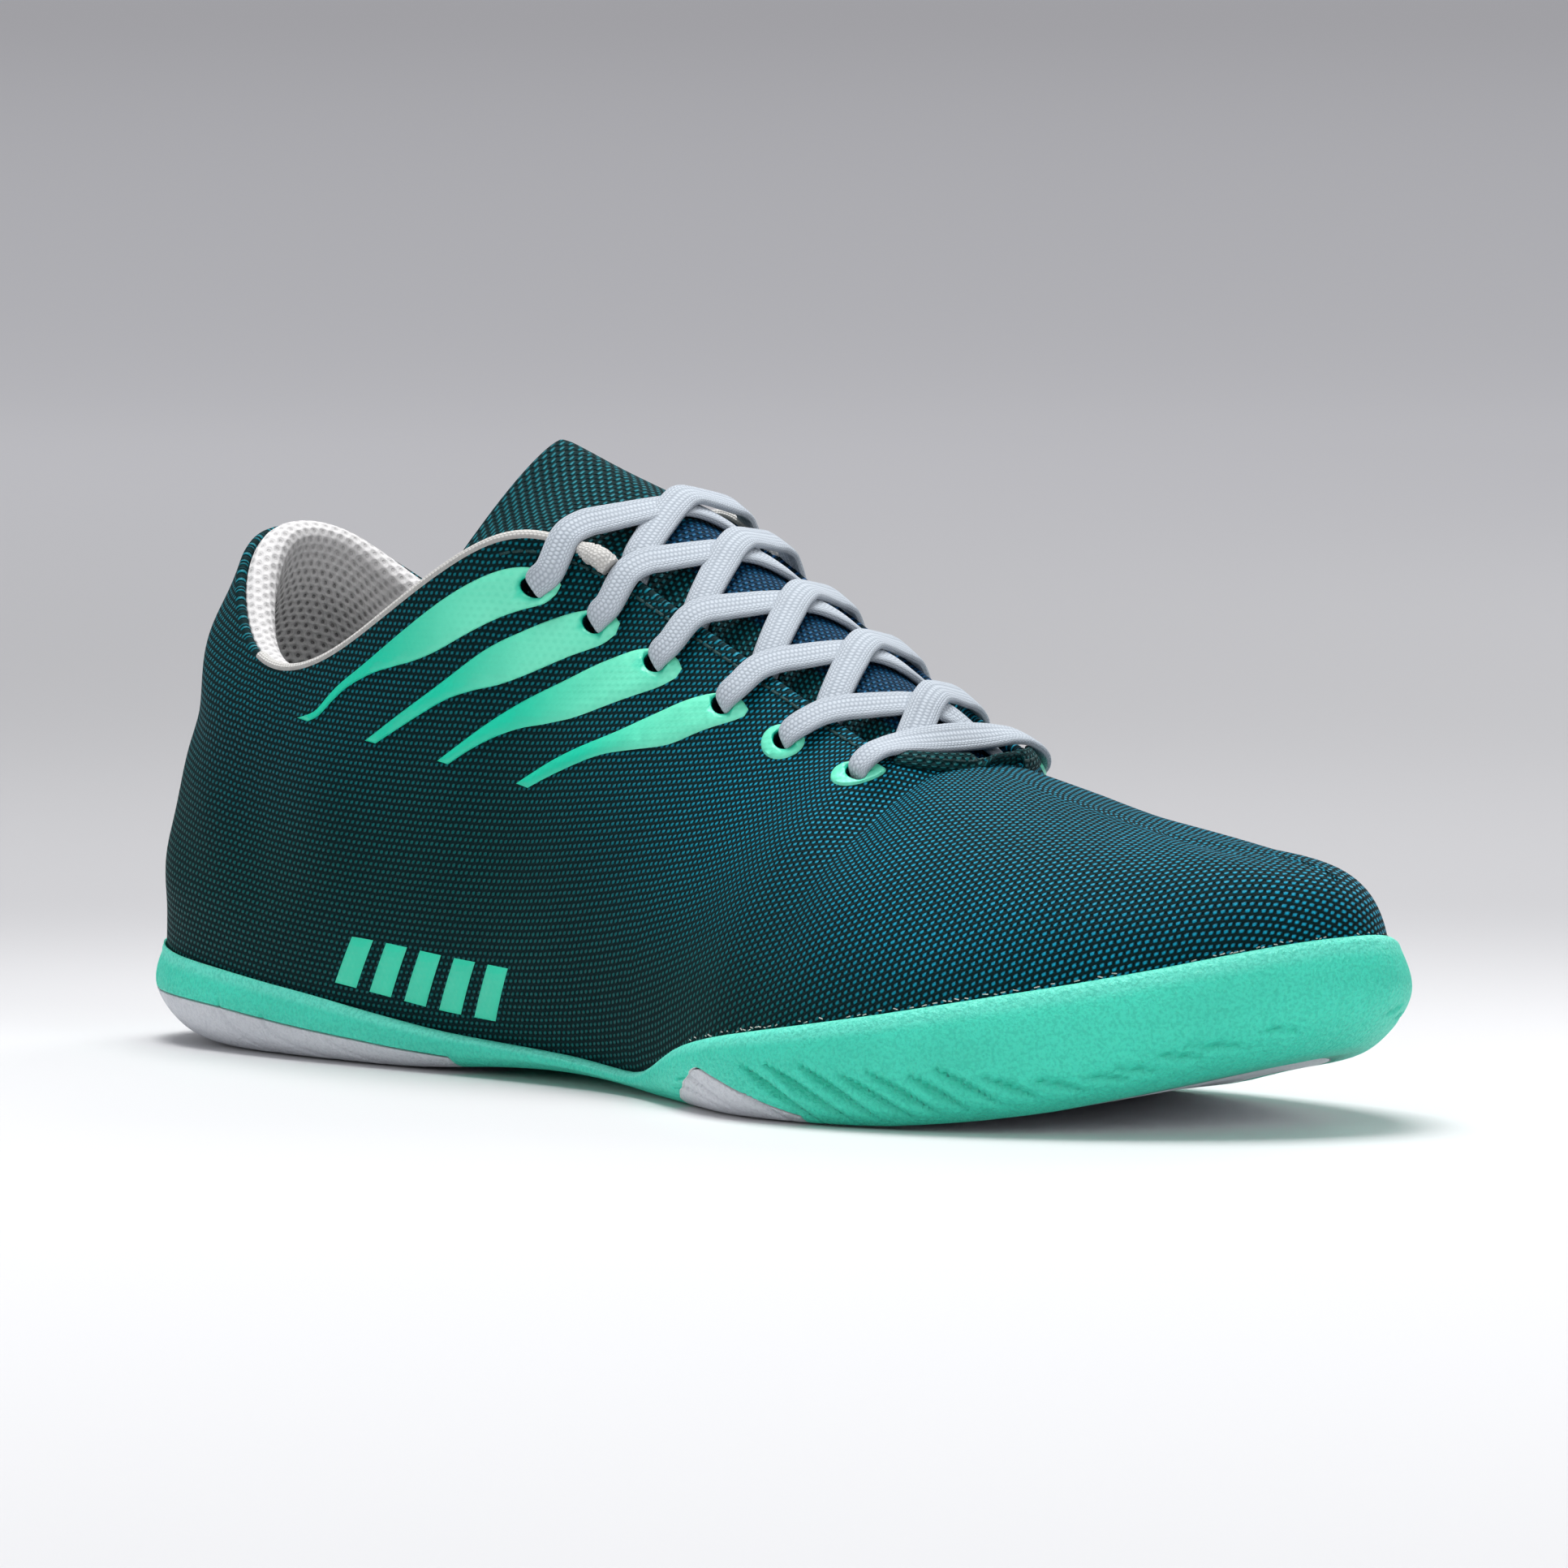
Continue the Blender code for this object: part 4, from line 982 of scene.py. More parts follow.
def smooth_line(pts, step):
    """Soft line through 2-D points in mm, in even steps."""
    p = np.array([(a * KG, b * KT, 0) for a, b in pts])
    L = float(np.linalg.norm(np.diff(p, axis=0), axis=1).sum())
    q, _, _ = curve_through(p, max(6, int(L / step)))
    return q[:, :2]


def blade_outline(b):
    a, c = smooth_line(b[0], .9), smooth_line(b[1], .9)
    return np.vstack([a, c[::-1]])


def inset_ring(P, d):
    """Moves a closed outline inwards."""
    area2 = np.sum(P[:, 0] * np.roll(P[:, 1], -1) - np.roll(P[:, 0], -1) * P[:, 1])
    e = unit(np.roll(P, -1, 0) - P)
    n = np.stack([-e[:, 1], e[:, 0]], -1) * np.sign(area2)
    m = n + np.roll(n, 1, 0)
    m = unit(m)
    c = np.clip(np.sum(m * n, -1), .55, 1)
    return P + m * (d / c)[:, None]


def patch(name, outline_mm, mirror, mat, height, sink=.35, edge_w=.45, grid=2.2, fade=None):
    """A thin film cut to an outline, laid on the cloth, closed underneath."""
    O = np.asarray(outline_mm, float)
    I = inset_ring(O, edge_w)
    ok = inside(O, I[:, 0], I[:, 1]) & (poly_dist(O, I[:, 0], I[:, 1]) > edge_w * .6)
    I = I[ok]
    lo, hi = O.min(0), O.max(0)
    gx, gy = np.meshgrid(np.arange(lo[0], hi[0], grid), np.arange(lo[1], hi[1], grid))
    gx, gy = gx.ravel(), gy.ravel()
    keep = inside(O, gx, gy) & (poly_dist(O, gx, gy) > edge_w + .7)
    pts = np.vstack([O, I, np.stack([gx[keep], gy[keep]], -1)])
    nO, nI = len(O), len(I)
    edges = [(i, (i + 1) % nO) for i in range(nO)]
    v2, _, f2, orig, _, _ = delaunay_2d_cdt([Vector(p) for p in pts], edges, [list(range(nO))], 1, 1e-6)
    v2 = np.array([tuple(v) for v in v2])
    g, t = v2[:, 0] / KG, v2[:, 1] / KT
    on_edge = poly_dist(O, v2[:, 0], v2[:, 1]) < .02
    if mirror:
        g = 2 * NR - g
    offs = np.where(on_edge, .02, height)
    topv = surf(g, t, offs)
    botv = surf(g, t, np.full(len(g), -sink))
    n = len(topv)
    f2 = [list(f) for f in f2]
    F = f2 + [[i + n for i in f[::-1]] for f in f2]
    cnt = {}
    for f in f2:
        for i in range(len(f)):
            a, b = f[i], f[(i + 1) % len(f)]
            cnt[(a, b)] = 1
    for (a, b) in list(cnt):
        if (b, a) not in cnt:
            F.append([b, a, a + n, b + n])
    V = np.vstack([topv, botv])
    uv = cloth_uv(g, t)
    at = {}
    if fade is not None:
        fv = fade(v2[:, 0] / KG, t)
        at["fade"] = np.r_[fv, fv]
    return make(name, V, F, mat, np.vstack([uv, uv]), at, angle=50)


# ---- eyelet places and the laces' directions through them
def eyelet(k, side):
    g, t = EYELETS[k]
    gg = g if side < 0 else 2 * NR - g
    p = surf(gg, t, 0.0)
    n = face_dir(gg, t)
    tau = unit(surf(gg, min(t + .03, 1)) - surf(gg, t))
    return p, n, tau, gg


CREST = ((7.0, 206.2, 56.0), (7.5, 203.0, 56.0), (8, 199.8, 59.2), (9, 191.5, 67.3),
         (10, 176, 74.6), (11, 159, 82.6), (12, 142, 90.8), (13, 128.5, 98.4),
         (14, 114.5, 104.7), (15, 101, 110.8), (15.45, 95.5, 113.2))
CG = [r[0] for r in CREST]
CXS = [r[1] for r in CREST]
CZS = [r[2] for r in CREST]


def along(pts, n):
    d = np.r_[0, np.cumsum(np.linalg.norm(np.diff(pts, axis=0), axis=1))]
    s = np.linspace(0, d[-1], n)
    return np.stack([np.interp(s, d, pts[:, i]) for i in range(3)], -1)


def crest_at(x):
    return float(np.interp(x, CXS[::-1], CZS[::-1]))


def tongue_section(g, depth, flank=.80, n=61):
    ts = np.linspace(flank, 1, 17)
    l = skin(np.full(17, g), ts, np.full(17, depth))
    m = skin(np.full(17, 2 * NR - g), ts, np.full(17, depth))
    if g <= THROAT:
        mid_ = (l[-1] + m[-1]) / 2
        l[-1] = m[-1] = mid_
        arch = np.array([mid_])
    else:
        a = np.linspace(0, 1, 33)[1:-1, None]
        chord = (1 - a) * l[-1] + a * m[-1]
        c = np.array([np.interp(g, CG, CXS), 0, np.interp(g, CG, CZS)])
        lift = c - (l[-1] + m[-1]) / 2
        lift[1] = 0
        arch = chord + (1 - np.abs(2 * a - 1)**np.interp(g, (11.5, 13.5), (2.0, 1.35))) * lift
    return along(np.r_[l, arch, m[::-1]], n)


def upper_shell():
    gs = np.arange(0, 2 * NR - 1e-6, .1)
    ss = np.r_[0, .04, np.linspace(.075, 1, 54)]
    G2, S2 = np.meshgrid(gs, ss, indexing="ij")
    T2 = t_of(S2, G2)
    N2 = face_dir(G2, T2)
    rel = relief(G2, T2)
    base = upper(G2, T2)
    P = base + N2 * rel[..., None]
    Q = base - N2 * (1.85 - rel * .8)[..., None]
    nc, ns = G2.shape
    k = int(round(THROAT / .1))
    num = np.arange(nc * ns).reshape(nc, ns)
    for i in range(1, k + 1):
        num[nc - i, -1] = num[i, -1]
        m = (P[i, -1] + P[nc - i, -1]) / 2
        P[i, -1] = P[nc - i, -1] = m
        m = (Q[i, -1] + Q[nc - i, -1]) / 2
        Q[i, -1] = Q[nc - i, -1] = m
    # soften the line where both sides meet over the vamp
    for arr in (P, Q):
        for _ in range(8):
            lat, med = arr[1:k - 2, -5:], arr[nc - 1:nc - k + 2:-1, -5:]
            strip = np.concatenate([lat, med[:, -2::-1]], 1)
            sm = strip.copy()
            sm[:, 1:-1] = .5 * strip[:, 1:-1] + .25 * (strip[:, :-2] + strip[:, 2:])
            arr[1:k - 2, -5:] = sm[:, :5]
            arr[nc - 1:nc - k + 2:-1, -5:] = sm[:, 4:][:, ::-1]
    V = [P.reshape(-1, 3), Q.reshape(-1, 3)]
    nv = nc * ns
    rowsP = [list(num[i]) for i in range(nc)] + [list(num[0])]
    rowsQ = [[v + nv for v in r] for r in rowsP]
    F = quads(rowsP) + [f[::-1] for f in quads(rowsQ)]
    # rim at the throat and collar
    ci = np.arange(k, nc - k + 1)
    Tp, Tq = P[ci, -1], Q[ci, -1]
    gap = Tp - Tq
    tan = unit(np.gradient(Tp, axis=0))
    tan[0], tan[-1] = np.array([0, -1.0, 0]), np.array([0, -1.0, 0])
    e = unit(np.cross(tan, gap))
    ctr = np.stack([Tp[:, 0] - 12, 0 * Tp[:, 0], Tp[:, 2] + 14], -1)
    sg = np.sign(np.sum(e * (ctr - Tp), -1))
    e *= sg[:, None]
    rim_rows = [[num[i, -1] for i in ci]]
    cnt = 2 * nv
    mats = []
    for a in (40, 75, 105, 140):
        ra = math.radians(a)
        c = (Tp + Tq) / 2 + gap / 2 * math.cos(ra) + e * (np.linalg.norm(gap, axis=-1) / 2 * math.sin(ra))[:, None]
        ids = list(range(cnt, cnt + len(ci)))
        ids[-1] = ids[0]
        mats.append(c)
        rim_rows.append(ids)
        cnt += len(ci)
    rim_rows.append([num[i, -1] + nv for i in ci])
    F += quads(rim_rows)
    # closes the lower edge
    F += quads([[num[i % nc, 0] for i in range(nc + 1)], [num[i % nc, 0] + nv for i in range(nc + 1)]])
    V = np.vstack(V + mats)
    gv = np.r_[G2.ravel(), G2.ravel(), np.tile(gs[ci], 4)]
    tv = np.r_[T2.ravel(), T2.ravel(), np.ones(4 * len(ci))]
    uv = cloth_uv(gv, tv)
    f = fold(gv)
    med = gv > NR
    px, py = gv * KG, tv * KT
    nav = [(2 * NR - 17.9, 1.05), (2 * NR - 17.6, .80), (2 * NR - 16.6, .62), (2 * NR - 14.6, .46), (2 * NR - 12.6, .40), (2 * NR - 11.2, .46),
           (2 * NR - 10.6, .62), (2 * NR - 10.1, .80), (2 * NR - 9.9, 1.05)]
    poly = [(a * KG, b * KT) for a, b in nav]
    ins = inside(poly, px, py)
    dd = poly_dist(poly, px, py) * np.where(ins, 1, -1)
    navy = np.where(med, sstep(dd, -1.2, 1.2), 0)
    near = sstep(f, 3, 9)
    # the toe and vamp threads turn brighter blue, more so higher up the wall and near the throat: partly the yarn's
    # blue tint, partly painted highlight where overhead light falls on up-facing cloth
    blue_tint_and_highlight = (1 - sstep(f, 8.5, 13.5)) * sstep(tv, -.10 + .25 * near, .25 + .50 * near) * .95 + .25 * sstep(tv, .3, .9) * sstep(f, 9, 14)
    blue_tint_and_highlight = np.clip(blue_tint_and_highlight, 0, 1) * (1 - navy)
    used = np.zeros(len(V), bool)
    used[np.unique(np.concatenate([np.array(q) for q in F]))] = True
    remap = np.cumsum(used) - 1
    F = [[int(remap[i]) for i in q] for q in F]
    return make("upper_cloth", V[used], F, M_WOVEN, uv[used], {"navy": navy[used], "blue_tint_and_highlight": blue_tint_and_highlight[used]}, angle=60)


up_o = upper_shell()


def oval_cutters():
    H = Heap()
    for k in range(6):
        for side in (-1, 1):
            p, n, tau, gg = eyelet(k, side)
            v = unit(tau + np.array([.35, 0, 0]) * 0)
            w = unit(np.cross(v, n))
            v = np.cross(n, w)
            c = p
            a = np.arange(24) * 2 * math.pi / 24
            ring = np.cos(a)[:, None] * w * 2.75 + np.sin(a)[:, None] * v * 1.75
            V = np.vstack([c + ring + n * 4, c + ring - n * 5])
            F = quads([list(range(24)), list(range(24, 48))], True) + [list(range(24))[::-1], list(range(24, 48))]
            H.add(V, F)
    return H.object("eyelet_cutters", None)


holes = oval_cutters()
cut(up_o, holes)
piece(up_o, "upper", "upper")

films = []
for i, b in enumerate(BLADES):
    O = blade_outline(b)
    tail, tip = b[0][0][0], b[0][-1][0]
    fd = (lambda tail, tip: (lambda g, t: sstep((tail - g) / (tail - tip), .30, .80)))(tail, tip)
    for mirror in (False, True):
        o = patch("stay_%s_%d" % ("inner" if mirror else "outer", i + 1), O, mirror, M_FILM, .42, fade=fd)
        films.append(o)


def loop_ring(k, mirror):
    """Oval film tab round a lower eyelet."""
    g, t = EYELETS[k]
    p, n, tau, gg = eyelet(k, -1)
    a = np.linspace(0, 2 * math.pi, 40, endpoint=False)
    kg = np.linalg.norm(surf(g + .05, t) - surf(g - .05, t)) / .1
    kt = np.linalg.norm(surf(g, t + .01) - surf(g, t - .01)) / .02
    x = np.cos(a) * 4.7
    y = np.sin(a) * 3.6 - .2
    return np.stack([(g + x / kg) * KG, (t + y / kt) * KT], -1)


for k in (0, 1):
    for mirror in (False, True):
        films.append(patch("eyelet_tab_%s_%d" % ("inner" if mirror else "outer", k + 1), loop_ring(k, mirror),
                           mirror, M_FILM, .45, fade=lambda g, t: 0 * g + .9))

# a row of five equal slanted tiles near the heel, outer side
for i in range(5):
    g0 = 15.60 - .60 * i
    quad = [(g0, .045), (g0 - .37, .045), (g0 - .37 - .26, .155), (g0 - .26, .155)]
    q = np.array([(a * KG, (tl_at(a) + b) * KT) for a, b in quad])
    ring = []
    for a, c in zip(q, np.roll(q, -1, 0)):
        m = max(2, int(np.linalg.norm(c - a) / .9))
        ring += [a + (c - a) * j / m for j in range(m)]
    films.append(patch("heel_tile_%d" % (i + 1), np.array(ring), False, M_FILM, .34,
                       fade=lambda g, t: 0 * g + .12 + .1 * t))
for o in films:
    if o.name.startswith(("stay", "eyelet")):
        cut(o, holes)
    piece(o, "mint")
drop(holes)

# =====================================================================
# Sole
# =====================================================================
GH = np.r_[np.arange(0, 9.6, .030), np.arange(9.6, 13.6, .12), np.arange(13.6, NR, .035), NR]
GS = np.r_[GH, (2 * NR - GH[1:-1])[::-1]]
EDGE_COLS = ("g", "shoulder", "low_inset", "low_rise", "foot_inset")
EDGE = (
    (0, .5, 4.0, 2.4, 10.0), (3, .5, 3.0, 2.6, 7.5), (6, .45, 1.6, 2.6, 4.6),
    (8, .45, 1.2, 2.2, 4.0), (10, .5, 0.9, 1.0, 3.0), (13, .5, 1.0, 1.0, 3.6),
    (16, .5, 1.7, 2.2, 5.0), (19, .5, 2.2, 3.0, 6.5), (22, .5, 2.4, 3.0, 7.0),
)


def edge_of(name, g):
    i = EDGE_COLS.index(name)
    return np.interp(fold(g), [r[0] for r in EDGE], [r[i] for r in EDGE])


# grooves scooped out of the forefoot wall: section and height (0 ground,
# 1 lip) of both ends, half width and depth in mm
LENSES = (
    (7.06, .62, 5.95, -.02, 1.35, 1.0), (6.66, .63, 5.48, .00, 1.35, 1.0), (6.16, .616, 5.16, .03, 1.3, 1.0),
    (5.62, .50, 4.78, .04, 1.25, .95), (5.26, .504, 4.48, .05, 1.2, .95), (4.80, .44, 4.18, .07, 1.15, .9),
    (4.52, .478, 3.84, .08, 1.1, .9), (4.06, .356, 3.48, .09, 1.05, .85), (3.56, .26, 3.02, .08, 1.0, .8),
    (3.06, .21, 2.60, .09, .9, .7), (2.78, .22, 2.34, .11, .9, .7), (2.40, .26, 1.88, .12, .9, .7),
    (2.10, .27, 1.44, .13, .9, .7), (1.42, .27, .80, .16, .8, .6), (7.12, .29, 6.4, -.05, 1.0, .8),
)
HEEL_CUTS = (
    ((17.74, .62), (17.70, .50), (17.62, .42), (17.54, .30), (17.38, .18), (17.14, .06), (16.8, -.06)),
    ((16.86, .56), (16.80, .44), (16.72, .34), (16.52, .22), (16.28, .13), (15.9, .04), (15.6, -.08)),
    ((19.6, .70), (19.55, .5), (19.4, .35), (19.1, .2), (18.7, .06), (18.4, -.06)),
    ((15.7, .42), (15.6, .3), (15.3, .16), (14.9, .02)),
    ((8.70, .48), (8.32, .53), (7.8, .27), (7.38, .06)),
    ((8.95, .34), (8.52, .36), (8.1, .2), (7.75, .04)),
)


def sole_profile(gs):
    tl = tl_at(gs)
    bx, by, ox, oy = outline(gs, seat_in(gs))
    out = np.stack([ox, oy, 0 * ox], -1)
    seat = np.stack([bx, by, level("seat", bx) - GAP], -1) + out * (GAP + .1)
    mid_ = upper(gs, tl / 2) + out * (GAP + .1)
    lip = upper(gs, tl) + out * (GAP + .1)
    hb = sstep(fold(gs), 14.0, 17.0)[:, None]
    lipo = lip + out * (LIP - 1.1 * hb)
    lipo[:, 2] -= 0.2
    x0, y0, _, _ = outline(gs)
    ground = ground_at(x0, y0)
    zw = ground + (lipo[:, 2] - ground) * edge_of("shoulder", gs)
    wide = np.stack([x0, y0, zw], -1)
    far = (lipo - wide)[:, 0] * ox + (lipo - wide)[:, 1] * oy + 0.25
    wide += out * np.maximum(far, 0)[:, None]
    x1, y1, _, _ = outline(gs, edge_of("low_inset", gs))
    rise = np.minimum(edge_of("low_rise", gs), (zw - ground) * .6)
    low = np.stack([x1, y1, ground_at(x1, y1) + rise], -1)
    x2, y2, _, _ = outline(gs, edge_of("foot_inset", gs))
    foot = np.stack([x2, y2, ground_at(x2, y2)], -1)
    h = (lipo[:, 2] - ground)
    sc = np.clip(h / 18.0, .25, 1)[:, None]
    upz = np.array([0, 0, 1.0])
    rows = [seat, mid_, lip - out * .1]
    rows.append(lip + out * .25 * sc + upz * .18)
    rows.append(lip * .45 + lipo * .55 + upz * .16)
    c1 = lipo - upz * .25 + out * .12
    rows.append(c1)
    c2 = lipo + out * (.75 - .4 * hb) * sc - upz * 1.7 * sc
    rows.append(c1 * .66 + c2 * .34 + out * .07)
    # soft cubic from the chamfer to the ground
    pts = [c2, wide + out * .0, low, foot]
    m = 27
    seg = [np.linalg.norm(pts[i + 1] - pts[i], axis=-1) for i in range(3)]
    d = np.stack([0 * seg[0], seg[0], seg[0] + seg[1], seg[0] + seg[1] + seg[2]], -1)
    slopes = []
    for i in range(4):
        if i == 0:
            s_ = (pts[1] - pts[0]) / seg[0][:, None] * .6 + out * .25 - upz * .3
        elif i == 3:
            s_ = (pts[3] - pts[2]) / seg[2][:, None]
            s_[:, 2] *= .35
        else:
            a_ = (pts[i] - pts[i - 1]) / seg[i - 1][:, None]
            b_ = (pts[i + 1] - pts[i]) / seg[i][:, None]
            wa, wb = seg[i][:, None], seg[i - 1][:, None]
            s_ = (a_ * wa + b_ * wb) / (wa + wb)
        slopes.append(s_)
    tot = d[:, -1]
    for k in range(m):
        q = tot * k / (m - 1)
        i = np.clip((q[:, None] >= d[:, 1:3]).sum(1), 0, 2)
        P0 = np.choose(i[:, None], [pts[0], pts[1], pts[2]])
        P1 = np.choose(i[:, None], [pts[1], pts[2], pts[3]])
        S0 = np.choose(i[:, None], slopes[:3])
        S1 = np.choose(i[:, None], slopes[1:])
        L = np.choose(i, seg)
        u = np.clip((q - d[np.arange(len(q)), i]) / L, 0, 1)[:, None]
        L = L[:, None]
        rows.append((2 * u**3 - 3 * u**2 + 1) * P0 + (u**3 - 2 * u**2 + u) * L * S0
                    + (3 * u**2 - 2 * u**3) * P1 + (u**3 - u**2) * L * S1)
    return rows, out


def carve(P, gs, out):
    """Depth of the grooves at wall points, in mm."""
    x = P[:, 0]
    gnd, lipz = ground_at(outline(gs)[0], outline(gs)[1]), level("lip", outline(gs)[0])
    f = fold(gs)
    dep = np.zeros(len(gs))
    dark = np.zeros(len(gs))
    for g0, h0, g1, h1, hw, dp in LENSES:
        k = 15.8
        H = 20.0
        h = (P[:, 2] - gnd) / (lipz - gnd)
        ax, ay, bx, by = g0 * k, h0 * H, g1 * k, h1 * H
        ux, uy = bx - ax, by - ay
        s = ((f * k - ax) * ux + (h * H - ay) * uy) / (ux * ux + uy * uy)
        q = ((f * k - ax) * uy - (h * H - ay) * ux) / math.hypot(ux, uy)
        sc = np.clip(s, 0, 1)
        w = hw * np.maximum(np.sin(math.pi * np.clip(sc * .92 + .06, 0, 1))**.7, 0.02)
        r = q / w
        on = (s > -.02) & (s < 1.02) & (np.abs(r) < 1)
        v = np.where(on, np.clip((r + 1) / 1.45, 0, 1)**1.1 * (1 - sstep(r, .45, 1.0)), 0)
        dep = np.maximum(dep, v * dp * 1.7 * np.sin(math.pi * np.clip(sc * .9 + .08, 0, 1))**.5)
    h = (P[:, 2] - gnd) / (lipz - gnd)
    for line in HEEL_CUTS:
        pl = [(a * 14.0, b * 16.0) for a, b in line]
        X, Y = f * 14.0, h * 16.0
        dmin = np.full(len(gs), 1e9)
        for (x0, y0), (x1, y1) in zip(pl[:-1], pl[1:]):
            ux, uy = x1 - x0, y1 - y0
            s = np.clip(((X - x0) * ux + (Y - y0) * uy) / (ux * ux + uy * uy), 0, 1)
            dmin = np.minimum(dmin, np.hypot(X - x0 - s * ux, Y - y0 - s * uy))
        v = np.clip(1 - dmin / .62, 0, 1)
        dep = np.maximum(dep, v * .6)
    return dep


SROWS, SOUT = sole_profile(GS)
SCUT = []
for i_, r_ in enumerate(SROWS):
    if i_ < 7:
        SCUT.append(np.zeros(len(GS)))
    else:
        dv = carve(r_, GS, SOUT)
        SCUT.append(dv)
        SROWS[i_] = r_ - SOUT * dv[:, None]
HALF = len(GH) - 1


def sole_form(name, mat):
    n = len(GS)
    V = np.vstack(SROWS)
    rows = [[i * n + j for j in range(n)] for i in range(len(SROWS))]
    F = quads(rows, True)
    for ring in (rows[0], rows[-1]):
        for i in range(HALF):
            q = []
            for v in (ring[i], ring[i + 1], ring[(n - i - 1) % n], ring[(n - i) % n]):
                if v not in q:
                    q.append(v)
            if len(q) > 2:
                F.append(q)
    # painted highlight weight: the chamfer rows at the top of the lip get the paler mint
    chamfer_highlight = np.zeros(len(V))
    for i, a in ((3, .5), (4, 1), (5, 1), (6, 1), (7, .9), (8, .35)):
        chamfer_highlight[i * n:(i + 1) * n] = a
    # painted shade weight: groove depth darkens the rubber in the grooves
    groove_shade = np.clip(np.concatenate(SCUT), 0, 1)
    return make(name, V, F, mat, None, {"edge": chamfer_highlight, "cut": groove_shade}, angle=50)


def prism(name, pts_xz, y0, y1):
    n = len(pts_xz)
    V = [(x, y0, z) for x, z in pts_xz] + [(x, y1, z) for x, z in pts_xz]
    F = quads([list(range(n)), list(range(n, 2 * n))], True) + [list(range(n)), list(range(n, 2 * n))[::-1]]
    return make(name, np.array(V, float), F, None)


def heel_profile(raise_by, ahead):
    line = ((-8, 9.9), (12, 9.3), (37, 7.9), (50, 6.7), (64, 5.4), (77, 4.3), (88, 3.4), (101, 2.6))
    xs = np.linspace(-8, 101, 45)
    q = curve_through([(a, b, 0) for a, b in line], 90)[0]
    pts = [(x, float(np.interp(x, q[:, 0], q[:, 1])) + raise_by) for x in xs]
    pts[-1] = (pts[-1][0] + ahead, pts[-1][1])
    return [(pts[0][0], -6), *pts, (pts[-1][0], -6)][::-1]


def fore_tool(name, grow):
    gs = np.r_[np.arange(0, 8.55, .1), np.arange(2 * NR - 8.5, 2 * NR, .1)]
    inset = np.interp(fold(gs), (0, 2, 4, 6), (17.0, 15.0, 10.0, 7.0)) - grow
    thick = np.interp(fold(gs), (0, 3, 6, 8.5), (1.2, 1.4, 2.0, PAD_FORE))
    x, y, _, _ = outline(gs, inset)
    hi = np.stack([x, y, ground_at(x, y) + thick + grow * 1.6], -1)
    lo = hi - np.array([0, 0, 12.0 + PAD_FORE])
    n = len(gs)
    V = np.vstack([hi, lo])
    rows = [list(range(n)), list(range(n, 2 * n))]
    F = quads(rows, True)
    for ring in rows:
        for i in range(n // 2):
            q = []
            for v in (ring[i], ring[i + 1], ring[(n - i - 1) % n], ring[(n - i) % n]):
                if v not in q:
                    q.append(v)
            if len(q) > 2:
                F.append(q)
    return make(name, V, F, None)


def wedge_tool(name, grow):
    line = ((175, 1.0), (181, 4.6), (187, 7.6), (193, 6.4), (201, 4.2), (213, 1.0))
    q = curve_through([(a, b, 0) for a, b in line], 40)[0]
    pts = [(float(x), float(z) + grow) for x, z, _ in q]
    pts[0] = (pts[0][0] - grow, pts[0][1])
    pts[-1] = (pts[-1][0] + grow, pts[-1][1])
    pts = [(pts[0][0], -4), *pts, (pts[-1][0], -4)]
    return prism(name, pts[::-1], -70, -30 + grow)


SG = .35
midsole = sole_form("cupsole", M_MINT)
heel_pad = sole_form("heel_pad", M_GREY)
fore_pad = sole_form("forefoot_pad", M_GREY)
tool = prism("tool_a", heel_profile(0, 0), -70, 70)
cut(heel_pad, tool, "INTERSECT")
drop(tool)
tool = prism("tool_b", heel_profile(SG, SG), -70, 70)
cut(midsole, tool)
drop(tool)
for grow, target, op in ((0.0, fore_pad, "INTERSECT"), (SG, midsole, "DIFFERENCE")):
    tool = fore_tool("tool_c", grow)
    wt = wedge_tool("tool_d", grow)
    cut(tool, wt, "UNION")
    cut(target, tool, op)
    drop(tool, wt)
piece(midsole, "mint", "midsole")
piece(heel_pad, "grey", "outsole_heel")
piece(fore_pad, "grey", "outsole_forefoot")

# =====================================================================
# Insole
# =====================================================================


def insole_piece():
    gs = np.arange(0, 2 * NR, .25)
    rows, uv = [], []
    V = []
    n = len(gs)
    for inset, dz in ((2.9, .3), (2.9, 2.2), (3.4, 2.9), (4.4, 3.2), (7.5, 3.05), (12.0, 2.9)):
        x, y, _, _ = outline(gs, seat_in(gs) + inset - 0.1)
        z = level("seat", x) + dz + .7 * np.exp(-inset / 3)
        V.append(np.stack([x, y, z], -1))
    nb = len(V)
    Vv = np.vstack(V)
    R = [[i * n + j for j in range(n)] for i in range(nb)]
    F = quads(R, True)
    h = n // 2
    for ring in (R[0], R[-1]):
        for i in range(h):
            q = []
            for v in (ring[i], ring[i + 1], ring[(n - i - 1) % n], ring[(n - i) % n]):
                if v not in q:
                    q.append(v)
            if len(q) > 2:
                F.append(q)
    return make("insole_sheet", Vv, F, M_INSOLE, Vv[:, :2], angle=50)


piece(insole_piece(), "insole", "insole")

# =====================================================================
# Tongue
# =====================================================================


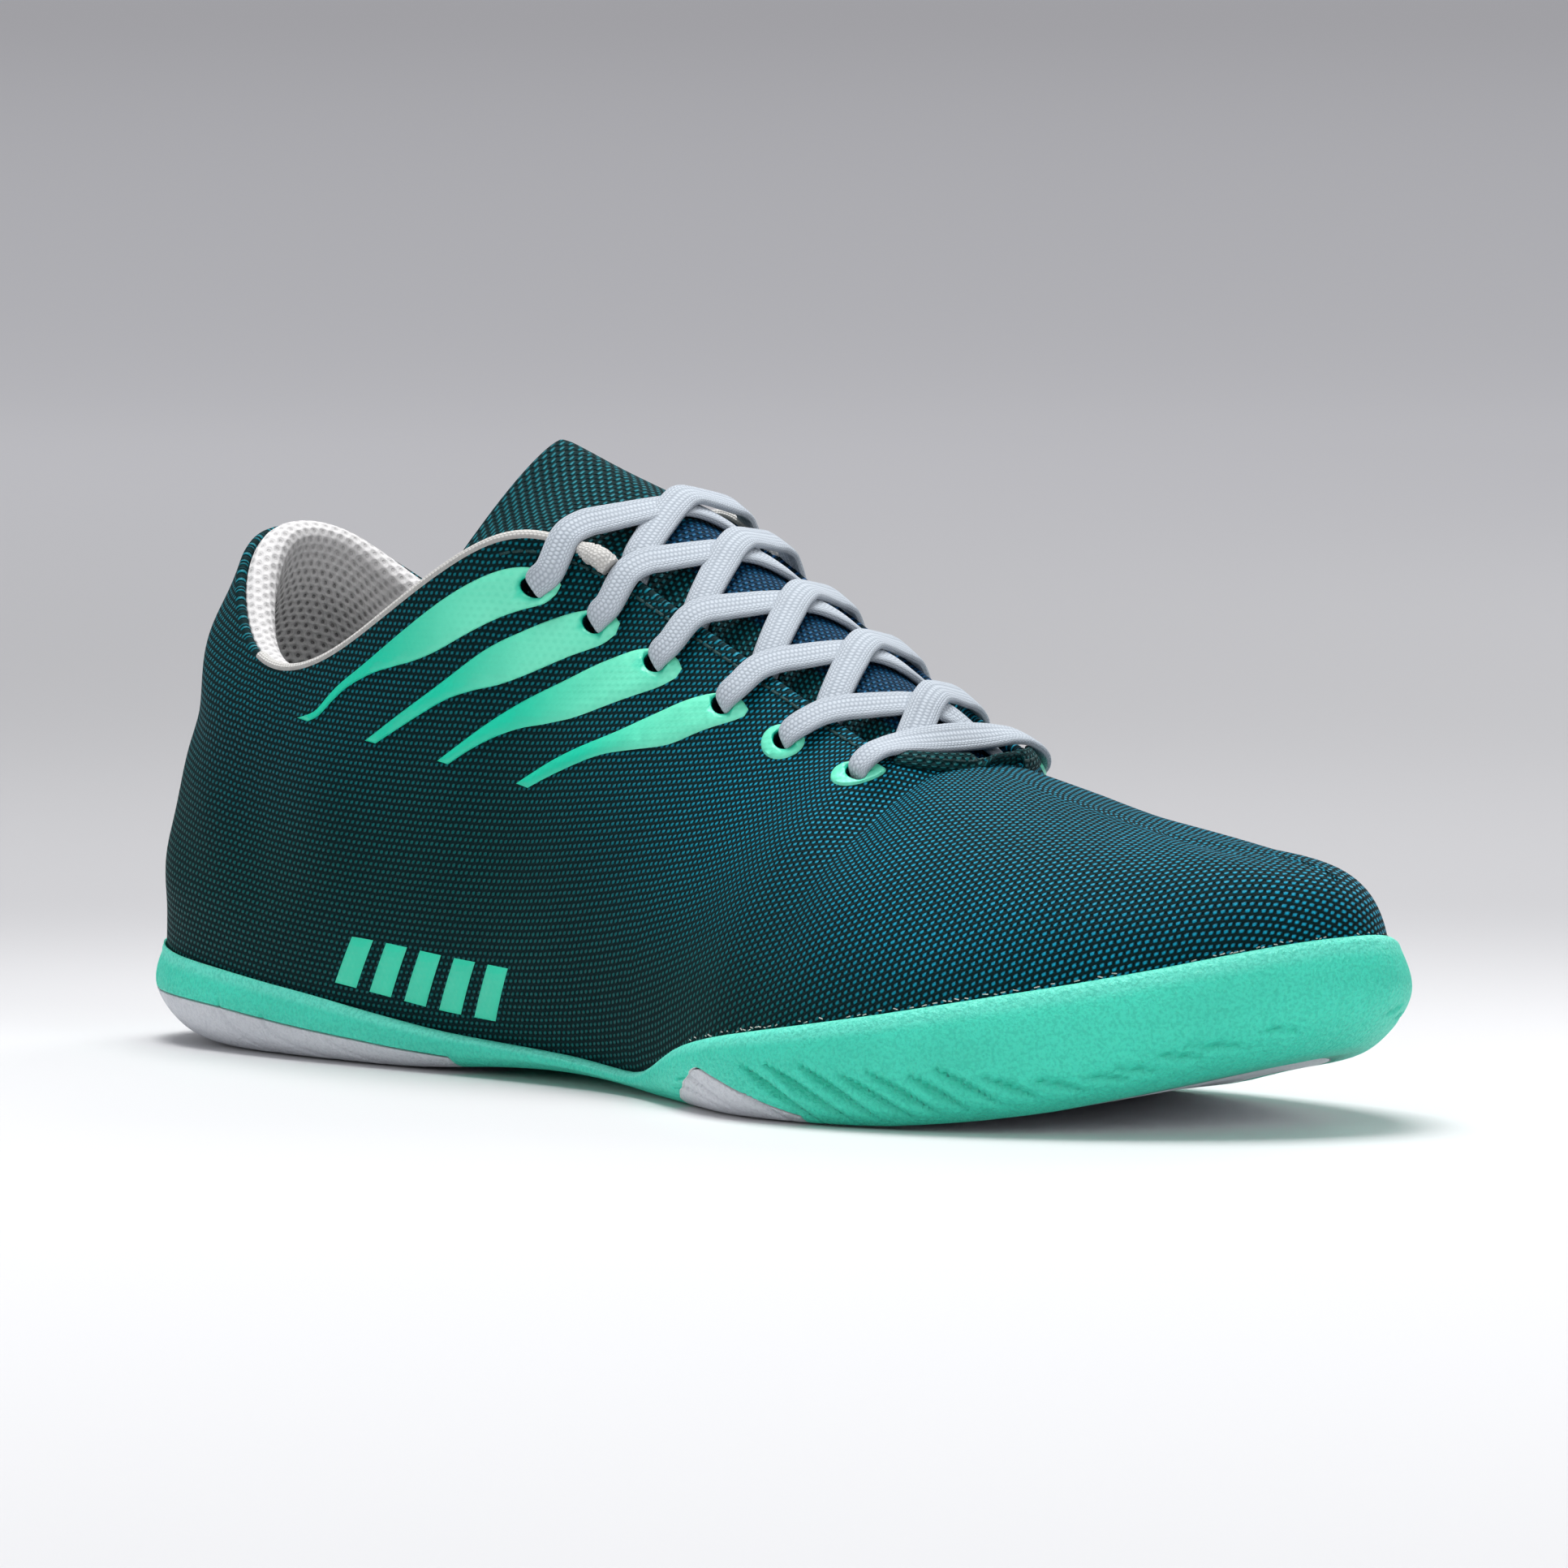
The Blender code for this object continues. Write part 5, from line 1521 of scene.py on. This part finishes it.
def tongue_piece():
    gq = np.r_[np.linspace(5.2, 14.6, 96), np.linspace(14.66, 15.45, 16)]
    n = 81
    secs = []
    for g in gq:
        under = sstep(g, 7.2, 8.4) * (1 - sstep(g, 13.2, 14.4))
        secs.append(tongue_section(float(g), WALL + .8 + 1.5 * float(under), n=n))
    O = np.array(secs)
    for _ in range(3):
        O[1:-1] = .5 * O[1:-1] + .25 * (O[:-2] + O[2:])
    du, dv = np.gradient(O, axis=0), np.gradient(O, axis=1)
    N = unit(np.cross(du, dv))
    N *= np.sign(np.sum(N * np.array([.2, 0, 1.0]), -1))[..., None]
    a = np.linspace(-1, 1, n)[None, :]
    gg = gq[:, None]
    # padding: fuller at the free top, thin under the vamp
    puff = .3 * (1 - np.abs(a)**3) * sstep(gg, 12.6, 14.2) * (1 - .4 * sstep(gg, 15.0, 15.45))
    puff = puff + .35 * np.cos(a * 9.5) * sstep(gg, 13.3, 14.4) * 0
    th = TONGUE * (.55 + .45 * sstep(gg, 7.5, 9.5)) + puff
    s_w = np.r_[0, np.cumsum(np.linalg.norm(np.diff(O[60], axis=0), axis=1))]
    dist_side = np.minimum(s_w, s_w[-1] - s_w)[None, :]
    L = np.cumsum(np.r_[0, np.linalg.norm(np.diff(O[:, n // 2], axis=0), axis=1)])
    dist_top = (L[-1] - L)[:, None]
    dist_bot = L[:, None]
    e = np.clip(np.minimum(np.minimum(dist_side, dist_top * 1.0), dist_bot) / 2.4, 0, 1)
    shape = np.sqrt(np.clip(1 - (1 - e)**2, 0, 1))
    midS = O - N * (TONGUE / 2)
    out = midS + N * ((th / 2 + puff * .5) * shape)[..., None]
    inn = midS - N * ((th / 2) * shape)[..., None]
    nr = len(gq)
    num = np.arange(nr * n).reshape(nr, n)
    num2 = num + nr * n
    border = (e < 1e-9)
    num2 = np.where(border, num, num2)
    rows = [list(r) for r in num]
    rows2 = [list(r) for r in num2]
    F = quads(rows) + [f[::-1] for f in quads(rows2)]
    V = np.vstack([out.reshape(-1, 3), inn.reshape(-1, 3)])
    uu = np.tile((s_w - s_w[-1] / 2)[None, :], (nr, 1))
    vv = np.tile(L[:, None], (1, n))
    uv = np.stack([uu, vv], -1).reshape(-1, 2)
    uv = np.vstack([uv, uv])
    y = O[..., 1]
    blue = (1 - sstep(gg, 13.05, 13.2)) * sstep(y, -4.0, -2.5)
    seam = np.exp(-((gg - 13.42) / .10)**2)
    blue = np.clip(blue, 0, 1) * np.ones_like(y)
    # brightest along the middle of the tongue's crest, fading to its sides: partly the yarn's blue tint, partly painted
    # highlight on the top
    blue_tint_and_highlight = np.clip(.75 - np.abs(a) * .35 + 0 * gg, 0, 1) * np.ones_like(y)
    at = {"navy": np.r_[blue.ravel(), blue.ravel()], "blue_tint_and_highlight": np.r_[(blue_tint_and_highlight * (1 - blue)).ravel()] * 1.0}
    at["blue_tint_and_highlight"] = np.r_[at["blue_tint_and_highlight"], at["blue_tint_and_highlight"]]
    used = np.zeros(len(V), bool)
    used[np.unique(np.concatenate([np.array(q) for q in F]))] = True
    remap = np.cumsum(used) - 1
    F = [[int(remap[i]) for i in q] for q in F]
    at = {k: v[used] for k, v in at.items()}
    o = make("tongue_pad", V[used], F, M_TONGUE, uv[used], at, angle=70)
    return o, O, N


tongue_o, TONGUE_O, TONGUE_N = tongue_piece()
piece(tongue_o, "upper", "tongue")

# =====================================================================
# Collar lining
# =====================================================================


def collar_piece():
    gs = np.arange(14.4, 2 * NR - 14.4 + 1e-6, .1)
    inner_t = np.array([1.0, .985, .965, .94, .91, .87, .82, .76, .70, .63, .56, .49, .42])
    V, roll, uvv = [], [], []
    prev = None
    ulen = 0
    nrow = None
    for g in gs:
        f = float(fold(g))
        k = .25 + .75 * float(sstep(f, 15.5, 20.0))
        T = surf(g, 1.0)
        n = face_dir(g, 1.0)
        tan = unit(surf(g + .02, 1.0) - surf(g - .02, 1.0))
        e = unit(np.cross(tan, n))
        e *= np.sign(e[2] + 1e-9)
        up_ = e
        rise = .9 + 1.9 * float(sstep(f, 17.0, 21.0))
        sh = .35 + 1.5 * float(sstep(f, 16.0, 20.0))
        wid = 2.7 + 3.4 * float(sstep(f, 16.5, 20.5))
        prof = []
        # outer side of the roll, over its crown, to the inside
        for a_ in np.linspace(-.15, 1.0, 11):
            ang = math.pi * a_
            prof.append(T - n * (sh + wid / 2 - wid / 2 * math.cos(ang)) + up_ * (.15 + rise * max(math.sin(ang), -.5)))
        pad_max = 1.3 + 5.2 * k
        for t_ in inner_t[1:]:
            q = (1 - t_) / .58
            pad = wid - 2.35 + sh + (pad_max - wid + 2.35 - sh) * float(sstep(q, 0, .25))
            pad = max(pad * (1 - float(sstep(q, .22, .75))) + 1.3 * float(sstep(q, .22, .75)), 1.25)
            prof.append(surf(g, t_) - face_dir(g, t_) * (WALL + .35 + pad))
        for t_ in inner_t[::-1][:-1]:
            prof.append(surf(g, t_) - face_dir(g, t_) * (WALL + .35))
        prof.append(T - n * (WALL + .3) - up_ * .3)
        prof = np.array(prof)
        nrow = len(prof)
        c = prof[16]
        if prev is not None:
            ulen += float(np.linalg.norm(c - prev))
        prev = c
        d = np.r_[0, np.cumsum(np.linalg.norm(np.diff(prof, axis=0), axis=1))]
        V.append(prof)
        rv = np.r_[np.ones(11), np.exp(-np.linspace(0, 5, nrow - 11))]
        roll.append(rv)
        uvv.append(np.stack([np.full(nrow, ulen), d], -1))
    V = np.array(V)
    for _ in range(2):
        V[1:-1] = .5 * V[1:-1] + .25 * (V[:-2] + V[2:])
    nc = len(gs)
    rows = [[i * nrow + j for j in range(nrow)] for i in range(nc)]
    F = quads(rows, True)
    F.append(rows[0][::-1])
    F.append(rows[-1])
    return make("collar_mesh_lining", V.reshape(-1, 3), F, M_MESH, np.vstack(uvv), {"roll": np.concatenate(roll)}, angle=60)


collar_o = collar_piece()
piece(collar_o, "lining", "collar_lining")

# white trim from the collar to the top eyelets, ending in a frayed cord end
trim = Heap()
rnd = random.Random(7)
for side in (-1, 1):
    gsr = np.linspace(18.6, 13.15, 44)
    P = []
    U = []
    for g in gsr:
        gg = g if side < 0 else 2 * NR - g
        T = surf(gg, 1.0)
        n = face_dir(gg, 1.0)
        tan = unit(surf(gg + .02, 1.0) - surf(gg - .02, 1.0))
        e = unit(np.cross(tan, n))
        e *= np.sign(e[2] + 1e-9)
        P.append(T - n * .95 + e * .55)
        U.append(e)
    V, F, uv = ribbon(P, U, [2.3] * 44, [1.9] * 44, 110, 12, 1.0)
    trim.add(V, F, uv)
    # cord end
    g = 13.08 if side < 0 else 2 * NR - 13.08
    T, n = surf(g, 1.0), face_dir(g, 1.0)
    tan = unit(surf(g - .02 * -side, 1.0) - surf(g + .02 * -side, 1.0))
    tan = tan * np.sign(tan[0])
    c0 = T - n * .6 + np.array([0, 0, .7])
    P = [c0 - tan * 4.0, c0 - tan * 1.3 + n * .4, c0 + tan * 1.4 + n * .9, c0 + tan * 3.3 + n * 1.1 - np.array([0, 0, .6])]
    V, F, uv = ribbon(P, [n + np.array([0, 0, 1.0])] * 4, [2.6, 3.9, 4.3, 3.7], [2.0, 3.4, 3.9, 3.3], 26, 16, 1.0)
    V = V + (np.random.RandomState(3).rand(len(V), 1) - .5) * .25
    trim.add(V, F, uv)
    end = P[-1]
    for _ in range(10):
        d = unit(tan + np.array([rnd.uniform(-.5, .5), rnd.uniform(-.5, .5), rnd.uniform(-.8, .4)]))
        s0 = end - tan * .6 + np.array([rnd.uniform(-1.1, 1.1), rnd.uniform(-1.1, 1.1), rnd.uniform(-1.1, 1.1)])
        L = rnd.uniform(.5, 1.3)
        V, F = pill(s0, s0 + d * L, np.array([0, .3, 1.0]), .13, 5, 2, 1.0)
        trim.add(V, F)
trim_o = trim.object("collar_trim", plain_cloth("trim_cloth", (.72, .71, .69), (.50, .49, .47), 1.0, .85))
piece(trim_o, "lining")

# =====================================================================
# Lace
# =====================================================================


DG = bpy.context.evaluated_depsgraph_get()
TREES = [BVHTree.FromObject(o, DG) for o in (up_o, tongue_o)]


def ground_under(x, y):
    """Highest face of the cloth under x, y, its direction, and whether it is
    the tongue's."""
    best, who = None, 0
    for i, tr in enumerate(TREES):
        hit = tr.ray_cast(Vector(to_m((x, y, 150.0))), Vector((0, 0, -1)))
        if hit[0] is not None and (best is None or hit[0].z > best[0].z):
            best, who = hit, i
    if best is None:
        return -99.0, np.array([0.3, 0, 1.0]), 1
    n = np.array(best[1])
    return best[0].z * 1000.0, n * (1 if n[2] > 0 else -1), who


def taut(s, z):
    """A string pulled tight over the heights z at s."""
    idx = [0]
    while idx[-1] < len(s) - 1:
        i = idx[-1]
        sl = (z[i + 1:] - z[i]) / (s[i + 1:] - s[i])
        idx.append(i + 1 + int(np.argmax(sl)))
    return np.interp(s, s[idx], z[idx])


def dive(k, side, came):
    """Points over the edge of the eyestay and down into an eyelet."""
    p, n, tau, gg = eyelet(k, side)
    d = p - came
    v = unit(unit(d - n * np.dot(d, n)) * .55 - tau * .55)
    pts = [p - v * 4.6 + n * 1.5, p - v * 1.9 + n * 1.25, p - v * .5 + n * .35, p - v * .1 - n * 2.8]
    ups = [n, unit(n * .9 + v * .35), unit(n * .4 + v), v]
    return pts, ups, p - v * 4.6 + n * 1.5


def over(P0, P1, hump=0.0, slack=.7, u1=None):
    """Tight path between two points over tongue and eyestay."""
    L = float(np.hypot(P1[0] - P0[0], P1[1] - P0[1]))
    m = max(8, int(L / 1.2))
    s = np.linspace(0, L, m)
    xs, ys = np.interp(s, (0, L), (P0[0], P1[0])), np.interp(s, (0, L), (P0[1], P1[1]))
    z, N = [], []
    for x, y in zip(xs, ys):
        h, n, who = ground_under(x, y)
        z.append(h + (LACE_T / 2 + (.5, .15)[who]) / max(n[2], .35) + hump * math.exp(-((y - MID_Y) / 3.8)**2))
        N.append(n)
    z = np.array(z)
    z[0], z[-1] = P0[2], P1[2]
    z = taut(s, z)
    z = z + slack * np.sin(math.pi * s / L)
    for _ in range(6):
        z[1:-1] = .5 * z[1:-1] + .25 * (z[:-2] + z[2:])
    N = np.array(N)
    for _ in range(12):
        N[1:-1] = .5 * N[1:-1] + .25 * (N[:-2] + N[2:])
    pick = np.unique(np.round(np.linspace(0, m - 1, max(6, int(L / 3.2)))).astype(int))
    pts = np.stack([xs, ys, z], -1)[pick]
    return list(pts), list(unit(N)[pick])


lace = Heap()
WL, TLK = LACE_W, LACE_T
MID_Y = 6.0                 # middle of the throat, which lies inwards

# bar over the lowest pair of eyelets
pm, nm, _, _ = eyelet(0, 1)
pl, nl, _, _ = eyelet(0, -1)
A, UA, a_ = dive(0, -1, pm)
B, UB, b_ = dive(0, 1, pl)
M_, UM = over(a_, b_, 0.0, .5)
pts, ups = A[::-1] + M_[1:-1] + B, UA[::-1] + UM[1:-1] + UB
wid = [WL] * len(pts)
wid[:4], wid[-4:] = [WL * .62, WL * .80, WL * .90, WL * .95], [WL * .95, WL * .90, WL * .80, WL * .62]
V, F, uv = ribbon(pts, ups, wid, [TLK] * len(pts), 150, 24, .60)
lace.add(V, F, uv)
for k in range(5):
    for order, side in ((0, 1), (1, -1)):
        g, t = EYELETS[k]
        gg = g if side < 0 else 2 * NR - g
        n1 = face_dir(gg, 1.0)
        T = surf(gg, 1.0)
        target, _, _, _ = eyelet(k + 1, -side)
        d = np.array([target[0] - T[0], target[1] - T[1]])
        d /= np.linalg.norm(d)
        sx, sy = T[0] + d[0] * 3.0, T[1] + d[1] * 3.0
        h, n_s, who = ground_under(sx, sy)
        if h < T[2] - 9:
            h, n_s = T[2] - 4.0, unit(np.array([.2, 0, 1.0]))
        S = np.array([sx, sy, h + (LACE_T / 2 + .15) / max(n_s[2], .35)])
        hid = surf(gg, .93) - face_dir(gg, .93) * 3.1
        E, UE, e_ = dive(k + 1, -side, S)
        Mp, UM = over(S, e_, (0.0, LACE_T + .5)[order], (.5, .5)[order])
        pts = [hid, hid * .45 + S * .55 - n1 * .3] + Mp[:-1] + E
        ups = [n1, unit(n1 + UM[0])] + UM[:-1] + UE
        wid = [WL] * len(pts)
        wid[-4:] = [WL * .95, WL * .90, WL * .80, WL * .62]
        th = [1.5, 1.6] + [TLK] * (len(pts) - 2)
        V, F, uv = ribbon(pts, ups, wid, th, 170, 24, .60, u0=37.0 * (k * 2 + order))
        lace.add(V, F, uv)
lace_o = lace.object("lace_cord", M_LACE)
piece(lace_o, "lace", "lace")

# =====================================================================
# Stitching
# =====================================================================
st = Heap()
for side in (-1, 1):
    gline = np.linspace(7.6, 14.4, 900)
    gg = gline if side < 0 else 2 * NR - gline
    drop_t = 2.7 / 80.0
    P = surf(gg, np.full(len(gg), 1 - drop_t), np.full(len(gg), .16))
    Nn = face_dir(gg, np.full(len(gg), 1 - drop_t))
    L = np.r_[0, np.cumsum(np.linalg.norm(np.diff(P, axis=0), axis=1))]
    s = 0.0
    while s + 2.0 < L[-1]:
        i, j = int(np.searchsorted(L, s)), int(np.searchsorted(L, s + 1.9))
        V, F = pill(P[i], P[j], Nn[i], .27, 6, 3)
        st.add(V, F)
        s += 2.7
# folded binding round the bottom of the throat, with its own stitches
gb = np.r_[np.linspace(8.15, 7.05, 16), np.linspace(2 * NR - 7.05, 2 * NR - 8.15, 16)]
P = surf(gb, np.full(len(gb), .985), np.full(len(gb), .25))
Nn = face_dir(gb, np.full(len(gb), .985))
for _ in range(4):
    P[1:-1] = .5 * P[1:-1] + .25 * (P[:-2] + P[2:])
    Nn[1:-1] = .5 * Nn[1:-1] + .25 * (Nn[:-2] + Nn[2:])
V, F, uv = ribbon(P, unit(Nn), [4.2] * len(P), [1.5] * len(P), 120, 14, .8)
bind_o = make("throat_binding", V, F, M_BIND, uv, {"navy": np.zeros(len(V))})
piece(bind_o, "upper")
Pc, sc_, par = curve_through(P + unit(Nn) * .78, 400)
Nc = np.stack([np.interp(par, np.arange(len(P)), unit(Nn)[:, i]) for i in range(3)], -1)
s = 1.0
while s + 2.0 < sc_[-1]:
    i, j = int(np.searchsorted(sc_, s)), int(np.searchsorted(sc_, s + 1.7))
    V, F = pill(Pc[i], Pc[j], Nc[i], .26, 6, 3)
    st.add(V, F)
    s += 2.5
st_o = st.object("eyestay_stitching", M_THREAD)
piece(st_o, "upper")

# light thread bits where the cloth meets the lip, front half
wt_ = Heap()
rnd = random.Random(11)
for g in np.arange(.25, 8.6, .075):
    for side in (-1, 1):
        if rnd.random() < .58:
            continue
        gg = g if side < 0 else 2 * NR - g
        gg = (gg + rnd.uniform(-.02, .02)) % (2 * NR)
        t0 = float(tl_at(gg)) + .007 + rnd.uniform(-.002, .003)
        p = surf(gg, t0, .10)
        q = surf((gg + .025 + rnd.uniform(0, .03)) % (2 * NR), t0 + rnd.uniform(-.003, .004), .10)
        V, F = pill(p, q, face_dir(gg, t0), .11, 5, 2)
        wt_.add(V, F)
wt_o = wt_.object("feather_line_stitching", M_WHITE)
piece(wt_o, "upper")
